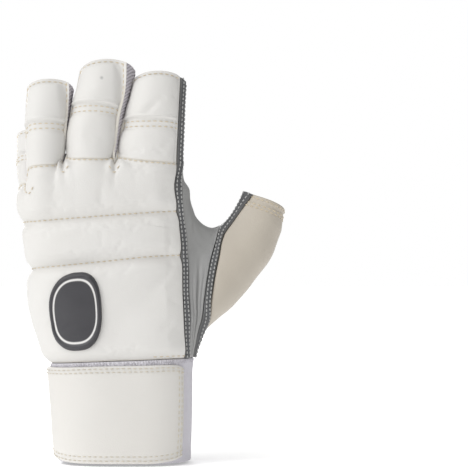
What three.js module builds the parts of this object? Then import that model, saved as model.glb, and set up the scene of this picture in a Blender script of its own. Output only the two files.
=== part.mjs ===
// Left-hand lineman glove with half fingers: quilted white leather back, grey suede palm, knit
// fourchettes between the fingers, and a stretch cuff closed by a strap around the wrist.
// Millimetres, +Z toward the fingertips, -Y the back of the hand, +X the thumb side.
// The origin lies at the centre of the cuff opening. Every piece is a sheet cut between named
// seams on the form of the hand, and is then thickened outward.
import * as THREE from 'three';

// Sections of the hand inside the glove: height, then the limits on its four sides
const SIDES = ['z', 'little', 'index', 'back', 'palm'];
const HAND = table(SIDES,
  [-20, -33.5, 33.5, -22, 22],
  [0, -33.5, 33.5, -22, 22],
  [25, -35, 34.6, -21.8, 21.8],
  [50, -37.5, 35, -21, 21],
  [62, -40, 35, -19.5, 21],
  [74, -43.5, 34.5, -18.5, 21],
  [88, -47, 34, -18, 20],
  [106, -48, 33.5, -17, 18],
  [118, -49.3, 33, -16.5, 16.5],
  [130, -51.8, 32, -16, 15.5],
  [145, -54, 31.2, -15, 14],
  [160, -54, 30.5, -13.5, 12],
  [175, -54, 30, -12, 10]);
const THUMB = table(SIDES,
  [50, 8, 30.5, -13, 16],
  [58, 4, 33.5, -14, 19],
  [66, 0, 39, -14, 22],
  [74, 0, 45, -13.5, 24],
  [87, 6, 59.5, -11.5, 26],
  [100, 19, 70.2, -7, 28],
  [112, 33, 79.3, -2.5, 29],
  [123, 49.5, 83.6, 2, 29.5],
  [130, 59.3, 85.8, 4.5, 29.5],
  [138, 65.6, 87.6, 7, 29.5],
  [146, 71.2, 91, 8.5, 30],
  [160, 79, 99, 10, 31]);
const INDEX = table(SIDES,
  [130, 4, 30, -12, 9],
  [150, -0.6, 30.6, -13, 9],
  [165, -1.2, 30.8, -13, 9.5],
  [180, 1.2, 31.3, -12, 10],
  [195, 4.8, 31.8, -9.5, 12],
  [210, 6.8, 32.4, -5.5, 15.5],
  [225, 8.5, 32.6, 0, 20]);
const MIDDLE = table(SIDES,
  [130, -27, -8, -13, 8],
  [150, -28.3, -6.3, -14, 8],
  [166, -28.3, -6, -14, 8],
  [178, -28, -4.9, -13, 8.5],
  [190, -26.6, -2.6, -11.5, 9.5],
  [203, -23.6, 1.4, -8.5, 12.5],
  [217, -21.3, 3.9, -4, 17],
  [230, -19.5, 5.5, 1.5, 22]);
const RING = table(SIDES,
  [130, -48.5, -34, -12, 8],
  [150, -49.6, -34.6, -13, 8],
  [165, -50.3, -34.3, -13, 8],
  [178, -51.2, -32.9, -12, 8.5],
  [190, -51.5, -31.3, -10, 10],
  [205, -51, -29.2, -6, 14],
  [220, -51, -28, 0, 20]);
const LITTLE = table(SIDES,
  [120, -50, -36, -8, 8],
  [135, -53, -37, -6, 12],
  [150, -56.2, -39.5, 1, 20.5],
  [160, -58.3, -40.5, 9.5, 28.5],
  [170, -59, -41, 17, 36],
  [180, -59.6, -41.3, 24, 43],
  [195, -60, -42, 35, 54]);

// Roundness of the sections, and how softly the parts of the hand run into each other
const SQUARENESS = { hand: 2.5, thumb: 2.2, finger: 2.2 };
const BLEND = { knuckles: 9, thumb: 14, web: 9, finger: 3.5 };
// Knuckle line that closes the hand between the fingers
const KNUCKLES = { top: 168, fall: 16, fallFrom: -20, fallOver: 30, riseToPalm: 0.35 };
// Web of skin between thumb and index finger: a slanted slab with an oval bite
const WEB = {
  biteX: 51, biteZ: 147.4, biteWidth: 16.6, biteHeight: 21.5,
  from: 31, halfThickness: 6, foot: 78, top: 149, slopeFrom: 33, slope: 0.48,
};

// Thicknesses of the materials, and the gap kept between neighbouring pieces
const GAP = 0.4;
const LEATHER = 1.5;
const KNIT = 1.2;
const ELASTIC = 1.6;

function table(columns, ...lines) {
  return lines.map((line) => Object.fromEntries(columns.map((name, i) => [name, line[i]])));
}

// Limits of a hand part at one height, eased between the rows of its table
function sectionAt(rows, z) {
  let i = 0;
  while (i < rows.length - 2 && z > rows[i + 1].z) {
    i += 1;
  }
  const from = rows[i];
  const to = rows[i + 1];
  const before = rows[Math.max(0, i - 1)];
  const after = rows[Math.min(rows.length - 1, i + 2)];
  const h = to.z - from.z;
  const s = Math.min(1, Math.max(0, (z - from.z) / h));
  const out = {};
  for (const side of SIDES.slice(1)) {
    const slopeIn = ((to[side] - before[side]) / (to.z - before.z)) * h;
    const slopeOut = ((after[side] - from[side]) / (after.z - from.z)) * h;
    out[side] = (2 * s ** 3 - 3 * s ** 2 + 1) * from[side] + (s ** 3 - 2 * s ** 2 + s) * slopeIn
      + (3 * s ** 2 - 2 * s ** 3) * to[side] + (s ** 3 - s ** 2) * slopeOut;
  }
  return out;
}

// Signed distance to one rounded part of the hand, negative inside
function partDistance(rows, n, p) {
  const q = sectionAt(rows, p.z);
  const a = (q.index - q.little) / 2;
  const b = (q.palm - q.back) / 2;
  const dx = Math.abs(p.x - (q.index + q.little) / 2) + 1e-6;
  const dy = Math.abs(p.y - (q.palm + q.back) / 2) + 1e-6;
  const rho = ((dx / a) ** n + (dy / b) ** n) ** (1 / n);
  const slope = rho ** (1 - n) * Math.hypot(dx ** (n - 1) / a ** n, dy ** (n - 1) / b ** n);
  return (rho - 1) / Math.max(slope, 0.02);
}

function softMin(a, b, k) {
  const h = Math.min(1, Math.max(0, 0.5 + (0.5 * (b - a)) / k));
  return b * (1 - h) + a * h - k * h * (1 - h);
}

function softMax(a, b, k) {
  return -softMin(-a, -b, k);
}

function webDistance(p) {
  const middle = (p.x - WEB.slopeFrom) * WEB.slope;
  const bite = Math.hypot((p.x - WEB.biteX) / WEB.biteWidth, (p.z - WEB.biteZ) / WEB.biteHeight);
  const thumb = sectionAt(THUMB, p.z);
  let d = softMax(Math.abs(p.y - middle) - WEB.halfThickness, (1 - bite) * 18, 7);
  d = softMax(d, WEB.from - p.x, 4);
  d = softMax(d, p.x - (thumb.little + thumb.index) / 2, 4);
  d = softMax(d, p.z - WEB.top, 4);
  return softMax(d, WEB.foot - p.z, 8);
}

// Signed distance to the whole hand
function handDistance(p) {
  const beyond = Math.max(0, KNUCKLES.fallFrom - p.x) / KNUCKLES.fallOver;
  const top = KNUCKLES.top - KNUCKLES.fall * Math.min(1.4, beyond) ** 2
    + KNUCKLES.riseToPalm * Math.min(14, Math.max(-14, p.y));
  let d = softMax(partDistance(HAND, SQUARENESS.hand, p), p.z - top, BLEND.knuckles);
  d = softMin(d, partDistance(THUMB, SQUARENESS.thumb, p), BLEND.thumb);
  d = softMin(d, webDistance(p), BLEND.web);
  for (const finger of [INDEX, MIDDLE, RING, LITTLE]) {
    const away = Math.max(0, 130 - p.z);
    d = softMin(d, partDistance(finger, SQUARENESS.finger, p) + away, BLEND.finger);
  }
  return d;
}

const STEP = 0.05;
function slopeAt(p) {
  const q = p.clone();
  const out = new THREE.Vector3();
  for (const axis of ['x', 'y', 'z']) {
    q[axis] = p[axis] + STEP;
    const ahead = handDistance(q);
    q[axis] = p[axis] - STEP;
    out[axis] = (ahead - handDistance(q)) / (2 * STEP);
    q[axis] = p[axis];
  }
  return out;
}

// Moves a point onto the skin of the hand by the shortest way
function settle(point) {
  const p = point.clone();
  for (let i = 0; i < 14; i += 1) {
    const d = handDistance(p);
    if (Math.abs(d) < 2e-4) {
      break;
    }
    const g = slopeAt(p);
    const move = Math.max(-4, Math.min(4, d / Math.max(g.lengthSq(), 0.05)));
    p.addScaledVector(g, -move);
  }
  return p;
}

// Point on the skin seen from the back (-Y) or from the palm (+Y)
function seenFrom(face, x, z) {
  const p = new THREE.Vector3(x, face === 'back' ? -60 : 60, z);
  const way = face === 'back' ? 1 : -1;
  for (let i = 0; i < 80; i += 1) {
    const d = handDistance(p);
    if (d < 0.005 || Math.abs(p.y) > 61) {
      break;
    }
    p.y += way * d * 0.8;
  }
  return p;
}

// Point on one part at a turn in degrees: 0 thumb side, 90 back, 180 little side, 270 palm
function around(rows, turn, z, n = SQUARENESS.finger) {
  const q = sectionAt(rows, z);
  const angle = THREE.MathUtils.degToRad(turn);
  const power = (v) => Math.sign(v) * Math.abs(v) ** (2 / n);
  return new THREE.Vector3(
    (q.index + q.little) / 2 + ((q.index - q.little) / 2) * power(Math.cos(angle)),
    (q.palm + q.back) / 2 - ((q.palm - q.back) / 2) * power(Math.sin(angle)), z);
}

// A seam runs on the skin through the given places; it is called with 0..1 along its length
function seam(places) {
  const fine = [];
  const curve = new THREE.CatmullRomCurve3(places, false, 'centripetal');
  const steps = (places.length - 1) * 8;
  for (let i = 0; i <= steps; i += 1) {
    fine.push(settle(curve.getPoint(i / steps)));
  }
  const length = [0];
  for (let i = 1; i < fine.length; i += 1) {
    length.push(length[i - 1] + fine[i].distanceTo(fine[i - 1]));
  }
  const whole = length[length.length - 1];
  return (t) => {
    const goal = Math.min(1, Math.max(0, t)) * whole;
    let i = 0;
    while (i < fine.length - 2 && length[i + 1] < goal) {
      i += 1;
    }
    const s = (goal - length[i]) / Math.max(1e-9, length[i + 1] - length[i]);
    return settle(fine[i].clone().lerp(fine[i + 1], s));
  };
}

// Seams one after another; the shares say how much of 0..1 each takes
function chain(seams, shares) {
  const whole = shares.reduce((a, b) => a + b, 0);
  return (t) => {
    let left = t * whole;
    let i = 0;
    while (i < seams.length - 1 && left > shares[i] + 1e-9) {
      left -= shares[i];
      i += 1;
    }
    return seams[i](left / shares[i]);
  };
}

const piece = (line, from, to) => (t) => line(from + (to - from) * t);
const steps = (n) => Array.from({ length: n + 1 }, (unused, i) => i / n);

// Point inside the four seams of a panel, u from left to right and v from bottom to top. The
// shapes of the bottom and top seams reach into the panel, less far where the edge has a fade.
function between(edge, u, v) {
  const { bottom, top, left, right, fade = 1 } = edge;
  const low = (1 - v) ** fade;
  const high = v ** fade;
  const p = new THREE.Vector3();
  p.addScaledVector(left(v), 1 - u).addScaledVector(right(v), u);
  p.addScaledVector(bottom(u), low).addScaledVector(top(u), high);
  p.addScaledVector(bottom(0), -(1 - u) * low).addScaledVector(bottom(1), -u * low);
  p.addScaledVector(top(0), -(1 - u) * high).addScaledVector(top(1), -u * high);
  return settle(p);
}

// Sheet goods: patches that share edges are sewn into one, pulled back from the seam and thickened
class Sheet {
  constructor() {
    this.points = [];
    this.levels = [];
    this.faces = [];
    this.keys = new Map();
  }

  vertex(p, levels) {
    const key = `${p.x.toFixed(2)},${p.y.toFixed(2)},${p.z.toFixed(2)}`;
    if (!this.keys.has(key)) {
      this.keys.set(key, this.points.length);
      this.points.push(p);
      this.levels.push(levels);
    }
    return this.keys.get(key);
  }

  // at(u, v) gives the place on the skin, levels(u, v) the inner and outer height above it
  patch(us, vs, at, levels) {
    const rows = vs.map((v) => us.map((u) => this.vertex(at(u, v), levels(u, v))));
    for (let j = 0; j < vs.length - 1; j += 1) {
      for (let i = 0; i < us.length - 1; i += 1) {
        this.faces.push([rows[j][i], rows[j][i + 1], rows[j + 1][i + 1], rows[j + 1][i]]);
      }
    }
    return this;
  }

  // Closed solid of the sheet, its free edges pulled back by the given distance
  solid(pullBack = GAP / 2) {
    const { points, levels } = this;
    const normals = points.map((p) => slopeAt(p).normalize());
    const across = new THREE.Vector3();
    let facing = 0;
    for (const [a, b, c, d] of this.faces) {
      across.crossVectors(points[c].clone().sub(points[a]), points[d].clone().sub(points[b]));
      facing += across.dot(normals[a]);
    }
    const faces = facing > 0 ? this.faces : this.faces.map((f) => [...f].reverse());
    const triangles = [];
    for (const [a, b, c, d] of faces) {
      for (const t of [[a, b, c], [a, c, d]]) {
        if (new Set(t).size === 3) {
          triangles.push(t);
        }
      }
    }
    const edges = new Map();
    for (const t of triangles) {
      for (let i = 0; i < 3; i += 1) {
        edges.set(`${t[i]}_${t[(i + 1) % 3]}`, [t[i], t[(i + 1) % 3]]);
      }
    }
    const rim = [...edges.values()].filter(([a, b]) => !edges.has(`${b}_${a}`));
    const inward = new Map();
    for (const [a, b] of rim) {
      const way = points[b].clone().sub(points[a]).normalize();
      for (const end of [a, b]) {
        const aside = normals[end].clone().cross(way).normalize();
        inward.set(end, [...(inward.get(end) ?? []), aside]);
      }
    }
    const pulls = [...inward].map(([i, ways]) => {
      const sum = ways[0].clone().add(ways[ways.length - 1]).normalize();
      return [i, sum.clone().multiplyScalar(pullBack / Math.max(0.55, sum.dot(ways[0])))];
    });
    // The cloth near a pulled edge follows it, so narrow strips stay evenly spaced
    const place = points.map((p, i) => {
      if (inward.has(i) || pullBack === 0) {
        return p.clone();
      }
      const move = new THREE.Vector3();
      let weight = 0;
      for (const [j, pull] of pulls) {
        const near = Math.max(0, 1 - p.distanceTo(points[j]) / (8 * pullBack)) ** 2;
        move.addScaledVector(pull, near);
        weight += near;
      }
      return p.clone().addScaledVector(move, 1 / Math.max(1, weight));
    });
    for (const [i, pull] of pulls) {
      place[i].add(pull);
    }
    const position = [];
    for (const level of [1, 0]) {
      place.forEach((p, i) => {
        position.push(...p.clone().addScaledVector(normals[i], levels[i][level]).toArray());
      });
    }
    const n = points.length;
    const index = [];
    for (const [a, b, c] of triangles) {
      index.push(a, b, c, c + n, b + n, a + n);
    }
    for (const [a, b] of rim) {
      index.push(b, a, a + n, b, a + n, b + n);
    }
    const geometry = new THREE.BufferGeometry();
    geometry.setAttribute('position', new THREE.Float32BufferAttribute(position, 3));
    geometry.setIndex(index);
    geometry.computeVertexNormals();
    return geometry;
  }
}

const flat = (thickness, under = 0) => () => [under, under + thickness];

// Rise of a padded cell across its width: flat flange at the seam, round shoulder, full middle
const SHOULDER = [0, 0.1, 0.28, 0.5, 0.72, 0.9, 1];
function dome(t) {
  return Math.sqrt(Math.max(0, 1 - Math.abs(2 * t - 1) ** 3));
}

// Seam that closes the glove onto the cuff, at its height around the wrist
const CUFF_SEAM = { height: 55.5, rise: 1.6 };
const cuffHeight = (turn) => CUFF_SEAM.height
  + CUFF_SEAM.rise * Math.cos(THREE.MathUtils.degToRad(turn));
const onHand = (turn, z) => around(HAND, turn, z, SQUARENESS.hand);
const onCuff = (turn, up = 0) => onHand(turn, cuffHeight(turn) + up);
function cuffArc(from, to, up = 0) {
  return seam(steps(8).map((t) => onCuff(from + (to - from) * t, up)));
}

// Where the pieces start around the cuff seam, in degrees of turn
const CUFF_TURN = {
  padEdge: 29, indexBinding: 19, thumbBinding: 5, thumbBack: -4,
  thumbSeam: -22, palm: -60, littleSeam: -160,
};

// Fingers: seams along both sides as turns, and hem heights at back and palm
const FINGER = ['name', 'rows', 'backLeft', 'backRight', 'backRightHem', 'palmLeft', 'palmRight',
  'palmRightHem', 'hemBack', 'hemPalm'];
const FINGERS = table(FINGER,
  ['little', LITTLE, 186, 96, 50, 186, 20, -12, 182.5, 178],
  ['ring', RING, 176, 5, 34, 228, -32, -32, 209, 200],
  ['middle', MIDDLE, 178, 8, 44, 212, -32, -32, 220, 207.5],
  ['index', INDEX, 177, 26, 26, 212, 3, 3, 213.5, 200.5]);
const hemHeight = (finger, turn) => {
  const s = 0.5 + 0.5 * Math.sin(THREE.MathUtils.degToRad(turn));
  return finger.hemPalm + (finger.hemBack - finger.hemPalm) * s;
};
const onFinger = (finger, turn, z) => around(finger.rows, turn, z);
const hemArc = (finger, from, to) => seam(steps(8).map((t) => {
  const turn = from + (to - from) * t;
  return onFinger(finger, turn, hemHeight(finger, turn));
}));

// Ends of the slits between the fingers, on the back and on the palm
const SLIT = ['between', 'backX', 'backZ', 'palmX', 'palmZ', 'pullBack'];
const SLITS = table(SLIT,
  ['little_ring', -50.5, 149, -38.5, 157, 0.6],
  ['ring_middle', -31.5, 160.5, -31, 164.5, 0.65],
  ['middle_index', -4, 160.5, -4, 167, 0.55]);
const slitBack = SLITS.map((s) => seenFrom('back', s.backX, s.backZ));
const slitPalm = SLITS.map((s) => seenFrom('palm', s.palmX, s.palmZ));

// Long seams of the hand
const [little, ring, middle, index] = FINGERS;
const littleBase = onFinger(little, little.backLeft, 149);
const littleSide = seam([
  onCuff(CUFF_TURN.littleSeam + 360), onHand(199, 76), onHand(198, 98), onHand(196, 118),
  onHand(192, 134), littleBase]);
const padEdge = seam([
  onCuff(CUFF_TURN.padEdge), seenFrom('back', 32.6, 76), seenFrom('back', 32.2, 91),
  seenFrom('back', 31.6, 106), seenFrom('back', 30.6, 121), seenFrom('back', 29.2, 137),
  seenFrom('back', 27.4, 151), onFinger(index, 26, 162.7)]);
const bindingEdge = seam([
  onCuff(CUFF_TURN.indexBinding), seenFrom('back', 36.4, 76), seenFrom('back', 36, 91),
  seenFrom('back', 35.4, 106), seenFrom('back', 34.2, 121), seenFrom('back', 32.4, 136),
  seenFrom('back', 31.4, 150), onFinger(index, 4, 162.7)]);

// Free edge of the web, from the index finger through the thumb crotch to the thumb hem
const THUMB_HEM = { x: 79.2, y: 18, z: 141.6, slope: -0.36, tilt: -0.22, back: 164, backOut: 142, crotch: 192, outer: 310 };
function thumbHem(turn) {
  let z = THUMB_HEM.z;
  for (let i = 0; i < 30; i += 1) {
    const { x, y } = around(THUMB, turn, z);
    const hem = THUMB_HEM.z + THUMB_HEM.slope * (x - THUMB_HEM.x) + THUMB_HEM.tilt * (y - THUMB_HEM.y);
    z += 0.5 * (hem - z);
  }
  return around(THUMB, turn, z);
}
const WEB_EDGE = table(['x', 'y', 'z'],
  [32.4, 1, 148],
  [34.8, 2, 141],
  [39.5, 3.5, 132],
  [45, 6, 127],
  [50.5, 8.4, 125.6],
  [55, 12.5, 127.4],
  [59.6, 16.5, 132],
  [64.8, 19, 139]);
const webPlaces = WEB_EDGE.map((row) => new THREE.Vector3(row.x, row.y, row.z));
const webTop = onFinger(index, 4, 162.7);
const webEdge = seam([webTop, ...webPlaces, thumbHem(THUMB_HEM.crotch)]);

// Foot of the thumb pieces, a strip's width above the cuff seam; shares of the seams it cuts
const BASE = { width: 4, backShare: 0.045, palmShare: 0.04 };

// Seams of the thumb: both edges of its binding, and the seam on its outer palm side
const thumbBindingIn = seam([
  onCuff(CUFF_TURN.thumbBinding), seenFrom('back', 42, 76), seenFrom('back', 44.6, 88),
  seenFrom('back', 46.8, 101), seenFrom('back', 49, 112), around(THUMB, 138, 123),
  around(THUMB, 156, 131), thumbHem(THUMB_HEM.back)]);
const thumbBindingOut = seam([
  onCuff(CUFF_TURN.thumbBack), seenFrom('back', 44.6, 74), seenFrom('back', 48, 87),
  seenFrom('back', 50.4, 100), seenFrom('back', 52.8, 111), around(THUMB, 121, 121.5),
  around(THUMB, 135, 129), thumbHem(THUMB_HEM.backOut)]);
const thumbSeam = seam([
  onCuff(CUFF_TURN.thumbSeam, BASE.width), around(THUMB, 330, 72), around(THUMB, 324, 86),
  around(THUMB, 318, 102), around(THUMB, 313, 118), thumbHem(THUMB_HEM.outer)]);

// Seam between palm and thumb piece: up under the heel patch, then along the tongue to its tip
const TONGUE = table(['x', 'z'], [12, 74], [3, 89], [-1.6, 101], [-2.3, 108], [1.9, 118], [7.8, 127.4],
  [15.4, 135.7], [23, 141.6]);
const TONGUE_TIP = 0.14;
const tongueTip = webEdge(TONGUE_TIP);
const tongueSeam = seam([
  onCuff(CUFF_TURN.palm), ...TONGUE.map((row) => seenFrom('palm', row.x, row.z)), tongueTip]);

// Quilt lines across the back pad, from the little side to its index edge
const QUILT = ['littleShare', 'indexShare', 'x1', 'z1', 'x2', 'z2', 'x3', 'z3'];
const QUILTS = table(QUILT,
  [0.52, 0.475, -36, 107, -8, 108.4, 14, 110.4],
  [0.8, 0.725, -36, 133.5, -8, 134.4, 14, 135.4]);
const quilts = QUILTS.map((q) => seam([
  littleSide(q.littleShare), onHand(160, q.z1 - 1), seenFrom('back', q.x1, q.z1),
  seenFrom('back', q.x2, q.z2), seenFrom('back', q.x3, q.z3), padEdge(q.indexShare)]));

// Foot of each finger: where its back panel meets the back pad, where its palm panel starts
const BACK_FOOT = table(['name', 'x1', 'z1', 'x2', 'z2'],
  ['little', -55, 150.5, -52.6, 151],
  ['ring', -46.5, 160, -37, 163],
  ['middle', -23.5, 164, -12, 164.4],
  ['index', 6, 164.4, 20, 164]);
const backEnds = [littleBase, ...slitBack, onFinger(index, 26, 162.7)];
const backFoot = BACK_FOOT.map((row, i) => seam([
  backEnds[i], seenFrom('back', row.x1, row.z1), seenFrom('back', row.x2, row.z2), backEnds[i + 1]]));
const PALM_FOOT = table(['name', 'x', 'z'],
  ['little', -51.5, 155],
  ['ring', -39, 161],
  ['middle', -17.5, 163],
  ['index', 13, 162.5]);
const palmEnds = [littleBase, ...slitPalm, webTop];
const palmFoot = PALM_FOOT.map((row, i) => seam([
  palmEnds[i], seenFrom('palm', row.x, row.z), palmEnds[i + 1]]));

// Four seams along each finger, from its foot to its hem
const along = (finger, turn, foot, shares, turnAtHem = turn) => seam([foot, ...shares.map((share) => {
  const top = hemHeight(finger, turnAtHem);
  return onFinger(finger, turn + (turnAtHem - turn) * share ** 1.5, foot.z + (top - foot.z) * share);
})]);
const RISES = [0.2, 0.45, 0.72, 1];
const fingerSeams = FINGERS.map((finger, i) => ({
  backLeft: along(finger, finger.backLeft, backEnds[i], RISES),
  backRight: along(finger, finger.backRight, backEnds[i + 1], RISES, finger.backRightHem),
  palmLeft: i === 0 ? along(finger, finger.backLeft, backEnds[0], RISES)
    : along(finger, finger.palmLeft, palmEnds[i], RISES),
  palmRight: along(finger, finger.palmRight, palmEnds[i + 1], RISES, finger.palmRightHem),
}));

const group = new THREE.Group();
group.name = 'lineman_glove';
const COLOURS = {
  white: ['#e8e6e2', 0.55], ivory: ['#d8cfc2', 0.55], suede: ['#b2b4af', 0.9],
  side: ['#8b8d90', 0.6], knit: ['#cfcdd6', 0.95], dark: ['#5f6162', 0.6],
  elastic: ['#dedbe3', 0.95], badge: ['#2e2f33', 0.45], loop: ['#e3e0e6', 1],
};
function add(name, colour, geometry) {
  const [color, roughness] = COLOURS[colour];
  const material = new THREE.MeshStandardMaterial({ color, roughness, metalness: 0 });
  material.name = colour;
  const mesh = new THREE.Mesh(geometry, material);
  mesh.name = name;
  group.add(mesh);
}
const panel = (edge, us, vs, levels, pullBack) => new Sheet()
  .patch(us, vs, (u, v) => between(edge, u, v), levels).solid(pullBack);

// Back pad: three padded channels from the cuff seam up to the feet of the fingers
const PAD = { flange: 1.6, loft: [3.8, 3.6, 3.2], edge: 0.05 };
const padColumns = [3, 4, 4, 5];
const padBottom = cuffArc(CUFF_TURN.littleSeam + 360, CUFF_TURN.padEdge);
const padTop = chain(backFoot, padColumns);
const padUs = steps(padColumns.reduce((a, b) => a + b, 0));
const padLines = [padBottom, quilts[0], quilts[1], padTop];
const littleCuts = [0, QUILTS[0].littleShare, QUILTS[1].littleShare, 1];
const indexCuts = [0, QUILTS[0].indexShare, QUILTS[1].indexShare, 1];
const padCell = (i) => ({
  bottom: padLines[i],
  top: padLines[i + 1],
  left: piece(littleSide, littleCuts[i], littleCuts[i + 1]),
  right: piece(padEdge, indexCuts[i], indexCuts[i + 1]),
});
// Only the flanks of a channel fall off toward its side seams
const flank = (u) => Math.min(1, Math.sqrt(Math.max(0, Math.min(u, 1 - u)) / 0.1));
const padLevels = (i) => (u, v) => [0, PAD.flange + PAD.loft[i] * dome(v) * flank(u)];
const backPad = new Sheet();
for (let i = 0; i < 3; i += 1) {
  backPad.patch(padUs, SHOULDER, (u, v) => between(padCell(i), u, v), padLevels(i));
}
add('back_pad', 'white', backPad.solid());

// Finger backs: two padded cells with a stitched crease between them
const CREASE = ['name', 'share', 'loft', 'columns', 'pullBack'];
const CREASES = table(CREASE,
  ['little', 0.5, 1.6, 6, 0.5],
  ['ring', 0.46, 2.4, 8, 0.35],
  ['middle', 0.5, 2.6, 8, 0.35],
  ['index', 0.42, 2.6, 10, 0.35]);
FINGERS.forEach((finger, i) => {
  const seams = fingerSeams[i];
  const crease = CREASES[i];
  const edge = {
    bottom: backFoot[i], left: seams.backLeft, right: seams.backRight,
    top: hemArc(finger, finger.backLeft, finger.backRightHem),
  };
  const rise = [0, 0.12, 0.35, 0.7, 1];
  const levels = (u, v) => [0, PAD.flange + crease.loft * dome(v) * Math.sin(Math.PI * u) ** 1.2];
  const sheet = new Sheet();
  const us = steps(crease.columns);
  sheet.patch(us, rise, (u, v) => between(edge, u, v * crease.share), levels);
  sheet.patch(us, rise, (u, v) => between(edge, u, crease.share + v * (1 - crease.share)), levels);
  add(`finger_back_${finger.name}`, 'white', sheet.solid(crease.pullBack));
});

// Fourchettes: knit strips that line the slits, down one finger and up the next
SLITS.forEach((slit, i) => {
  const lower = fingerSeams[i];
  const upper = fingerSeams[i + 1];
  const a = FINGERS[i];
  const b = FINGERS[i + 1];
  const legs = [
    { bottom: seam([slitBack[i], slitBack[i].clone().lerp(slitPalm[i], 0.5), slitPalm[i]]),
      top: hemArc(a, a.backRightHem, a.palmRightHem), left: lower.backRight, right: lower.palmRight },
    { bottom: seam([slitBack[i], slitBack[i].clone().lerp(slitPalm[i], 0.5), slitPalm[i]]),
      top: hemArc(b, b.backLeft, b.palmLeft), left: upper.backLeft, right: upper.palmLeft },
  ];
  const us = steps(3);
  const vs = [0, 0.06, 0.15, 0.3, 0.5, 0.75, 1];
  const sheet = new Sheet();
  sheet.patch([...us].reverse(), vs, (u, v) => between(legs[0], u, v), flat(KNIT));
  sheet.patch(us, vs, (u, v) => between(legs[1], u, v), flat(KNIT));
  add(`fourchette_${slit.between}`, 'knit', sheet.solid(slit.pullBack));
});

// Palm with the palm sides of the four fingers
const palmColumns = [2, 4, 4, 4];
const palmEdge = {
  bottom: cuffArc(CUFF_TURN.littleSeam + 360, CUFF_TURN.palm + 360, 0),
  top: chain(palmFoot, palmColumns),
  left: littleSide,
  right: chain([tongueSeam, (t) => webEdge(TONGUE_TIP * (1 - t))], [12, 2]),
};
const palmSheet = new Sheet();
palmSheet.patch(steps(14), steps(14), (u, v) => between(palmEdge, u, v), flat(LEATHER));
FINGERS.forEach((finger, i) => {
  const seams = fingerSeams[i];
  const edge = {
    bottom: palmFoot[i], left: seams.palmLeft, right: seams.palmRight,
    top: hemArc(finger, finger.palmLeft, finger.palmRightHem + 360),
  };
  palmSheet.patch(steps(palmColumns[i]), steps(5), (u, v) => between(edge, u, v), flat(LEATHER));
});
add('palm', 'suede', palmSheet.solid(0.3));

// Thumb palm: from the cuff seam over the thenar to the hem, with the tongue into the palm
const hemThumb = (from, to) => seam(steps(8).map((t) => thumbHem(from + (to - from) * t)));
const thumbPalmFoot = seam([tongueSeam(BASE.palmShare), onCuff(-52, BASE.width),
  onCuff(-40, BASE.width), onCuff(-30, BASE.width), thumbSeam(0)]);
const thumbPalmEdge = {
  bottom: thumbPalmFoot,
  left: piece(tongueSeam, BASE.palmShare, 1),
  right: thumbSeam,
  top: chain([piece(webEdge, TONGUE_TIP, 1),
    hemThumb(THUMB_HEM.crotch, THUMB_HEM.outer)], [9, 5]),
};
add('thumb_palm', 'side', panel(thumbPalmEdge, steps(14), steps(12), flat(LEATHER), 0.6));

// Side panel between index binding and thumb binding, up to the free edge of the web
const sideEdge = {
  bottom: cuffArc(CUFF_TURN.indexBinding, CUFF_TURN.thumbBinding),
  left: bindingEdge,
  right: thumbBindingIn,
  top: chain([piece(webEdge, 0, TONGUE_TIP), piece(webEdge, TONGUE_TIP, 1),
    hemThumb(THUMB_HEM.crotch, THUMB_HEM.back)], [2, 9, 1]),
  fade: 3,
};
add('side_panel', 'side', panel(sideEdge, steps(12), steps(12), flat(LEATHER), 0.55));

// Thumb back: white leather around the outer side of the thumb
const thumbBackFoot = seam([thumbBindingOut(BASE.backShare), onCuff(-12, BASE.width), thumbSeam(0)]);
const thumbBackEdge = {
  bottom: thumbBackFoot,
  left: piece(thumbBindingOut, BASE.backShare, 1),
  right: thumbSeam,
  top: hemThumb(THUMB_HEM.backOut, THUMB_HEM.outer - 360),
};
add('thumb_back', 'ivory', panel(thumbBackEdge, steps(8), steps(12),
  (u, v) => [0, LEATHER + 1 * dome(u) * Math.min(1, v * 3)]));

// Bindings: dark strips along the edge of the back pad with the index finger, and on the thumb
const BINDING = { height: 2.6 };
const fingerBinding = {
  bottom: seam([onFinger(index, 26, 162.7), onFinger(index, 15, 162.7), webTop]),
  top: hemArc(index, index.backRightHem, index.palmRightHem),
  left: fingerSeams[3].backRight,
  right: fingerSeams[3].palmRight,
};
const handBinding = {
  bottom: cuffArc(CUFF_TURN.padEdge, CUFF_TURN.indexBinding),
  top: fingerBinding.bottom,
  left: padEdge,
  right: bindingEdge,
};
const indexBinding = new Sheet();
indexBinding.patch(steps(2), steps(12), (u, v) => between(handBinding, u, v), flat(BINDING.height));
indexBinding.patch(steps(2), steps(6), (u, v) => between(fingerBinding, u, v), flat(BINDING.height));
add('index_binding', 'dark', indexBinding.solid(0.3));
const thumbBindingEdge = {
  bottom: cuffArc(CUFF_TURN.thumbBinding, CUFF_TURN.thumbBack),
  top: hemThumb(THUMB_HEM.back, THUMB_HEM.backOut),
  left: thumbBindingIn,
  right: thumbBindingOut,
};
add('thumb_binding', 'dark', panel(thumbBindingEdge, steps(2), steps(12), flat(BINDING.height), 0.3));

// Binding along the foot of the thumb, between cuff seam and thumb pieces
const baseBindingEdge = {
  bottom: cuffArc(CUFF_TURN.thumbBack, CUFF_TURN.palm),
  top: chain([thumbBackFoot, (t) => thumbPalmFoot(1 - t)], [3, 5]),
  left: piece(thumbBindingOut, 0, BASE.backShare),
  right: piece(tongueSeam, 0, BASE.palmShare),
};
add('thumb_base_binding', 'dark', panel(baseBindingEdge, steps(8), steps(1), flat(BINDING.height)));

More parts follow.
